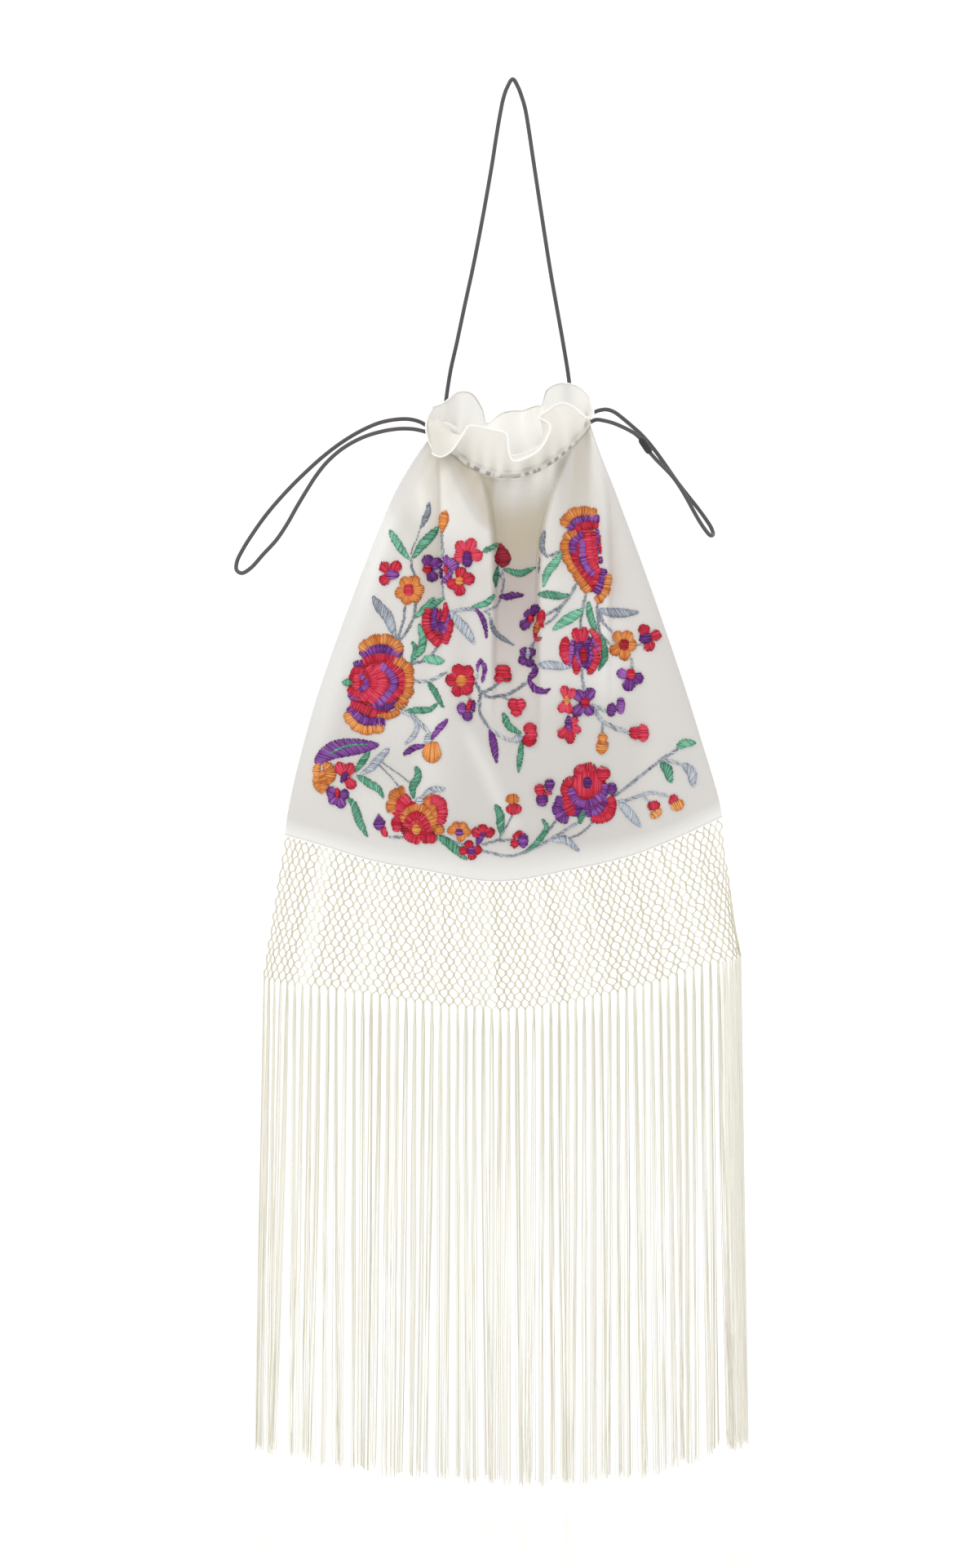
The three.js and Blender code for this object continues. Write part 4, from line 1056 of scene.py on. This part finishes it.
# Painted shade and highlight: the ends of a stitch, where it goes into the cloth, are painted
# darker than its middle, and its middle lighter.
PAINTED_STITCH_SHADE = np.array((-0.3, -0.1, 0.08, 0.08, -0.1, -0.3))
# How far each kind of shape stands above the cloth, in millimetres.
LEVELS = {"fill": 0.05, "stem": 0.0, "dash": 0.0, "leaf": 0.1, "arc": 0.25, "scallop": 0.25, "lobe": 0.3,
          "drop": 0.3, "petals": 0.35, "oval": 0.7, "flame": 0.75}
for row in CHART.split("\n")[1:-1]:
    kind, colour, size, *spots = row.split()
    tone = 0.5 + 0.22 * (colour.count("+") - colour.count("-")) + rng.normal(0, 0.05)
    colour = colour.strip("+-")
    spots = np.array([[float(n) for n in spot.split(",")] for spot in spots])
    size = float(size)
    if kind == "petals":
        starts, ends = [], []
        for tip in spots[1:]:
            ahead = tip - spots[0]
            side = np.array((-ahead[1], ahead[0])) / np.hypot(*ahead)
            place = np.linspace(-0.97, 0.97, int(1.3 * size / STITCH_STEP))[:, None]
            starts.append(spots[0] + 0.2 * ahead + side * place * 0.25 * size)
            rounded = ahead * (0.55 + 0.45 * np.sqrt(1 - place**2))
            ends.append(spots[0] + rounded + side * place * 0.5 * size)
        starts, ends = np.vstack(starts), np.vstack(ends)
    elif kind in ("oval", "fill"):
        middle, radii = spots
        level = np.linspace(-0.95, 0.95, max(4, int(2 * radii[1] / STITCH_STEP)))
        half = radii[0] * np.sqrt(1 - level**2)
        starts = middle + np.stack([-half, radii[1] * level], axis=1)
        ends = middle + np.stack([half, radii[1] * level], axis=1)
    else:
        line = through(spots, {"stem": 2.6, "dash": 4.5}.get(kind, STITCH_STEP))
        ahead = np.gradient(line, axis=0)
        ahead /= np.linalg.norm(ahead, axis=1)[:, None]
        side = np.stack([-ahead[:, 1], ahead[:, 0]], axis=1)
        t = np.linspace(0.02, 0.98, len(line))
        run = np.arange(len(line)) * STITCH_STEP
        reach = np.clip(np.minimum(t, 1 - t) * len(line) * STITCH_STEP / (0.35 * size), 0.04, 1)
        if kind == "leaf":
            shape = np.sin(np.pi * t**0.85) ** 0.75
        elif kind == "drop":
            shape = np.sin(np.pi * t**1.5) ** 0.7
        elif kind in ("lobe", "flame"):
            shape = np.sqrt(1 - (2 * t - 1) ** 2)
        else:
            shape = np.sqrt(1 - (1 - reach) ** 2) * (1.16 if kind in ("arc", "scallop") else 1.0)
        inner = outer = (shape * size / 2)[:, None]
        if kind == "scallop":
            outer = outer * (0.75 + 0.4 * np.abs(np.sin(np.pi * run / 14)) ** 0.6)[:, None]
        lean = {"stem": 2.0, "dash": 3.0, "leaf": 0.7}.get(kind, 0.0)
        way = side + lean * ahead if kind != "dash" else lean * ahead
        width = 0.8 if kind == "stem" else 1
        starts = line - way * outer * width
        ends = line + way * inner * width
    for a, b in zip(starts, ends):
        a, b = a + rng.normal(0, 0.4, 2), b + rng.normal(0, 0.4, 2)
        padding = min(0.0004, 0.00004 * np.hypot(*(b - a)))
        made = stitch(a, b, padding + LEVELS[kind] * 0.001 + 0.0003)
        if made:
            sewn[colour][0].append(made)
            sewn[colour][1].append(tone + 0.19 * rng.standard_normal() + PAINTED_STITCH_SHADE)
for colour, (lines, shades) in sewn.items():
    # Rayon floss: bright colour and a silky gloss along each strand.
    floss, tree, shader = surface("rayon_floss_" + colour, roughness=0.4, specular_ior_level=0.35)
    shade = add(tree, "ShaderNodeAttribute", attribute_name="shade").outputs["Fac"]
    dark, middle, light = FLOSS[colour]
    tone = ramp(tree, shade, (0.0, dark), (0.5, middle), (1.0, light))
    tree.links.new(tone, shader.inputs["Base Color"])
    piece = threads("embroidery_" + colour, lines, FLOSS_THICKNESS, 4, floss, shade=np.array(shades))
    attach(piece, "root")

# Net
# A curtain of ivory silk cords, knotted by hand in staggered diamonds and hung from the bottom
# seam. It is straight in the middle and bends back at both ends.
CURTAIN = {"left_radius": 46.0, "left_bend": math.radians(48), "right_radius": 17.0,
           "right_bend": math.radians(112), "left_end": -129.4, "right_end": 118.4}
FRINGE_TOP = {
    "across": (-129.4, -90, -42, 0, 34, 76, 101, 118.6),
    "drop": (472, 475.6, 482.7, 486, 481, 470.8, 462, 460),
}
NET_GAP = 0.6
NET_COLUMNS = 62
NET_ROWS = 20


def curtain(share):
    """The curtain seen from above: across, away and its angle, from 0 at the left end to 1."""
    left_arc = CURTAIN["left_radius"] * CURTAIN["left_bend"]
    right_arc = CURTAIN["right_radius"] * CURTAIN["right_bend"]
    start = CURTAIN["left_end"] + CURTAIN["left_radius"] * math.sin(CURTAIN["left_bend"])
    straight = CURTAIN["right_end"] - CURTAIN["right_radius"] - start
    past = share * (left_arc + straight + right_arc) - left_arc
    angle = np.minimum(past / CURTAIN["left_radius"], 0)
    angle = angle + np.maximum((past - straight) / CURTAIN["right_radius"], 0)
    radius = np.where(angle < 0, CURTAIN["left_radius"], CURTAIN["right_radius"])
    across = start + np.clip(past, 0, straight) + radius * np.sin(angle)
    return across, radius * (1 - np.cos(angle)), angle


def drawn_close(share):
    """The net and its fringe are drawn closer together at their left end."""
    return share * (1 - 0.3 * np.exp(-share / 0.1))


def net_point(share, down):
    """Points of the net in millimetres. down is from 0 at the seam to 1 at the fringe."""
    share = drawn_close(np.clip(share, 0, 1))
    across, away, _ = curtain(share)
    seam_x = SEAM["across"][0] + 0.6 + (SEAM["across"][-1] - SEAM["across"][0] - 1.2) * share
    top = ease(SEAM["across"], SEAM["drop"], seam_x) + NET_GAP
    low = ease(FRINGE_TOP["across"], FRINGE_TOP["drop"], across) - NET_GAP
    x = seam_x + (across - seam_x) * down
    y = seam_bend(2 * share - 1) * (1 - down) + away * down
    return np.stack([x, y, -(top + (low - top) * down)], axis=-1)


# Ivory silk cord: a glossy twisted yarn, a little creamier than the cloth.
silk_yarn, tree, shader = surface("silk_yarn", roughness=0.45, sheen_weight=0.2, specular_ior_level=0.4)
shade = add(tree, "ShaderNodeAttribute", attribute_name="shade").outputs["Fac"]
tone = ramp(tree, shade, (0.0, "#D0C9B0"), (0.5, "#F4F1E2"), (1.0, "#FFFDF2"))
tree.links.new(tone, shader.inputs["Base Color"])

# Each cord zigzags down from knot to knot. At a knot it runs beside its neighbour.
NET_YARN = 0.00068
KNOT_SHARE = 0.27
KNOT_SWELL = 1.3
pattern = (0.0, KNOT_SHARE, 0.5, 1 - KNOT_SHARE)
loose = rng.normal(0, (0.09, 0.12), (NET_ROWS + 1, NET_COLUMNS + 1, 2))
loose[0] = loose[-1] = 0
lines, swells = [], []
for strand in range(2 * NET_COLUMNS):
    path, thick = [], []
    for row in range(NET_ROWS + 1):
        knots = []
        for level in (row, min(row + 1, NET_ROWS)):
            knot = (strand + level % 2) // 2
            beside = 0.06 if (strand + level) % 2 else -0.06
            column = knot - 0.5 * (level % 2) + beside
            knots.append((column + loose[level, knot, 0], level + loose[level, knot, 1]))
        for part in pattern if row < NET_ROWS else (0.0,):
            slide = float(smooth((part - 0.8 * KNOT_SHARE) / (1 - 1.6 * KNOT_SHARE)))
            column = knots[0][0] * (1 - slide) + knots[1][0] * slide
            drop = knots[0][1] * (1 - part) + knots[1][1] * part
            path.append(((column + 0.5) / NET_COLUMNS, drop / NET_ROWS))
            thick.append(1.0 if part == 0.5 else KNOT_SWELL)
    lines.append(path)
    swells.append(thick)
lines = np.array(lines)
points = net_point(lines[..., 0], lines[..., 1]) * 0.001
shades = 0.1 + 0.12 * rng.standard_normal(len(lines))
net = threads("net_knotted_silk", points, NET_YARN, 5, silk_yarn, np.array(swells), shades)
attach(net, "root")
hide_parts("net")

# Fringe
# Under each knot of the net's lower edge hangs a lock of fine silk threads. The locks open and
# drift together as they fall, and their ends are cut a little uneven.
FRINGE_END = {"across": (-134, -60, 20, 70, 122), "drop": (719, 731, 736, 730, 716.5)}
FRINGE_SPREAD = 1.04
FRINGE_THREAD = 0.00034
LOCK_THREADS = 10
STEPS = 13
lines, shades = [], []
knots = drawn_close((np.arange(NET_COLUMNS) + 0.5) / NET_COLUMNS)
# At the right end the curtain turns back, and the locks of its hidden edge hang close behind.
turned_back = np.linspace(0.905, 0.985, 11)
for share in np.concatenate([knots, turned_back]):
    sway = rng.normal(0, 1.0)
    drift = rng.normal(0, 0.6 if share in turned_back else 1.4)
    for spot in np.linspace(-1, 1, LOCK_THREADS) + rng.normal(0, 0.1, LOCK_THREADS):
        stray = rng.normal(0, 1.0)
        across, away, angle = curtain(share)
        top = float(ease(FRINGE_TOP["across"], FRINGE_TOP["drop"], across)) - 0.7
        end = float(ease(FRINGE_END["across"], FRINGE_END["drop"], across * FRINGE_SPREAD))
        end += 1.5 * sway - abs(rng.normal(0, 3.0))
        level = np.linspace(0, 1, STEPS) ** 1.15
        aside = spot * (0.45 + 0.45 * smooth(level / 0.04) + 0.5 * smooth(level / 0.5))
        aside += (0.6 * stray + drift) * level**1.4
        aside += 0.35 * np.sin(5 * level + 3 * sway + stray) * level
        depth = rng.normal(0, 0.06) * (1 + level)
        spread = 1 + (FRINGE_SPREAD - 1) * level
        x = across * spread + aside * np.cos(angle) - depth * np.sin(angle)
        y = away + aside * np.sin(angle) + depth * np.cos(angle)
        lines.append(np.stack([x, y, -(top + (end - top) * level)], axis=-1))
        # The locks of the turned-back edge are painted lighter, as painted light against the shade their
        # dense bundle casts on itself.
        shades.append(0.46 + 0.18 * rng.standard_normal() + 0.05 * sway + 0.5 * (share > 0.9))
points = np.array(lines) * 0.001
fringe = threads("fringe_silk_threads", points, FRINGE_THREAD, 3, silk_yarn, shade=np.array(shades))
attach(fringe, "root")
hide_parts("fringe")

# Floor and light
# A white table just under the fringe, so wide that it is also the background. The studio light is
# white and even, mostly from above and the front, with a weaker light from behind.
TABLE_DROP = 0.742
TABLE_HALF = 60
# Smooth white laminate: plain, with a weak and nearly sharp mirror image.
white_table, _, _ = surface("white_table", base_color=linear("#FCFCFC"), roughness=0.06,
                            specular_ior_level=0.3)
corners = [(x * TABLE_HALF, y * TABLE_HALF, -TABLE_DROP) for x, y in ((-1, -1), (1, -1), (1, 1), (-1, 1))]
floor = solid("floor", corners, [(0, 1, 2, 3)], white_table)
world = bpy.data.worlds.new("studio")
world.use_nodes = True
sky = world.node_tree.nodes["Background"].inputs
sky["Color"].default_value = (1, 1, 1, 1)
sky["Strength"].default_value = 0.92
scene.world = world
for name, angle, spread, power in (
    ("key", (48, 0, -28), 50, 0.88),
    ("fill", (65, 0, 60), 60, 0.2),
    ("back", (-65, 0, 15), 70, 0.32),
):
    sun = bpy.data.lights.new(name, "SUN")
    sun.energy = power
    sun.angle = math.radians(spread)
    light = bpy.data.objects.new(name, sun)
    light.rotation_euler = [math.radians(a) for a in angle]
    scene.collection.objects.link(light)
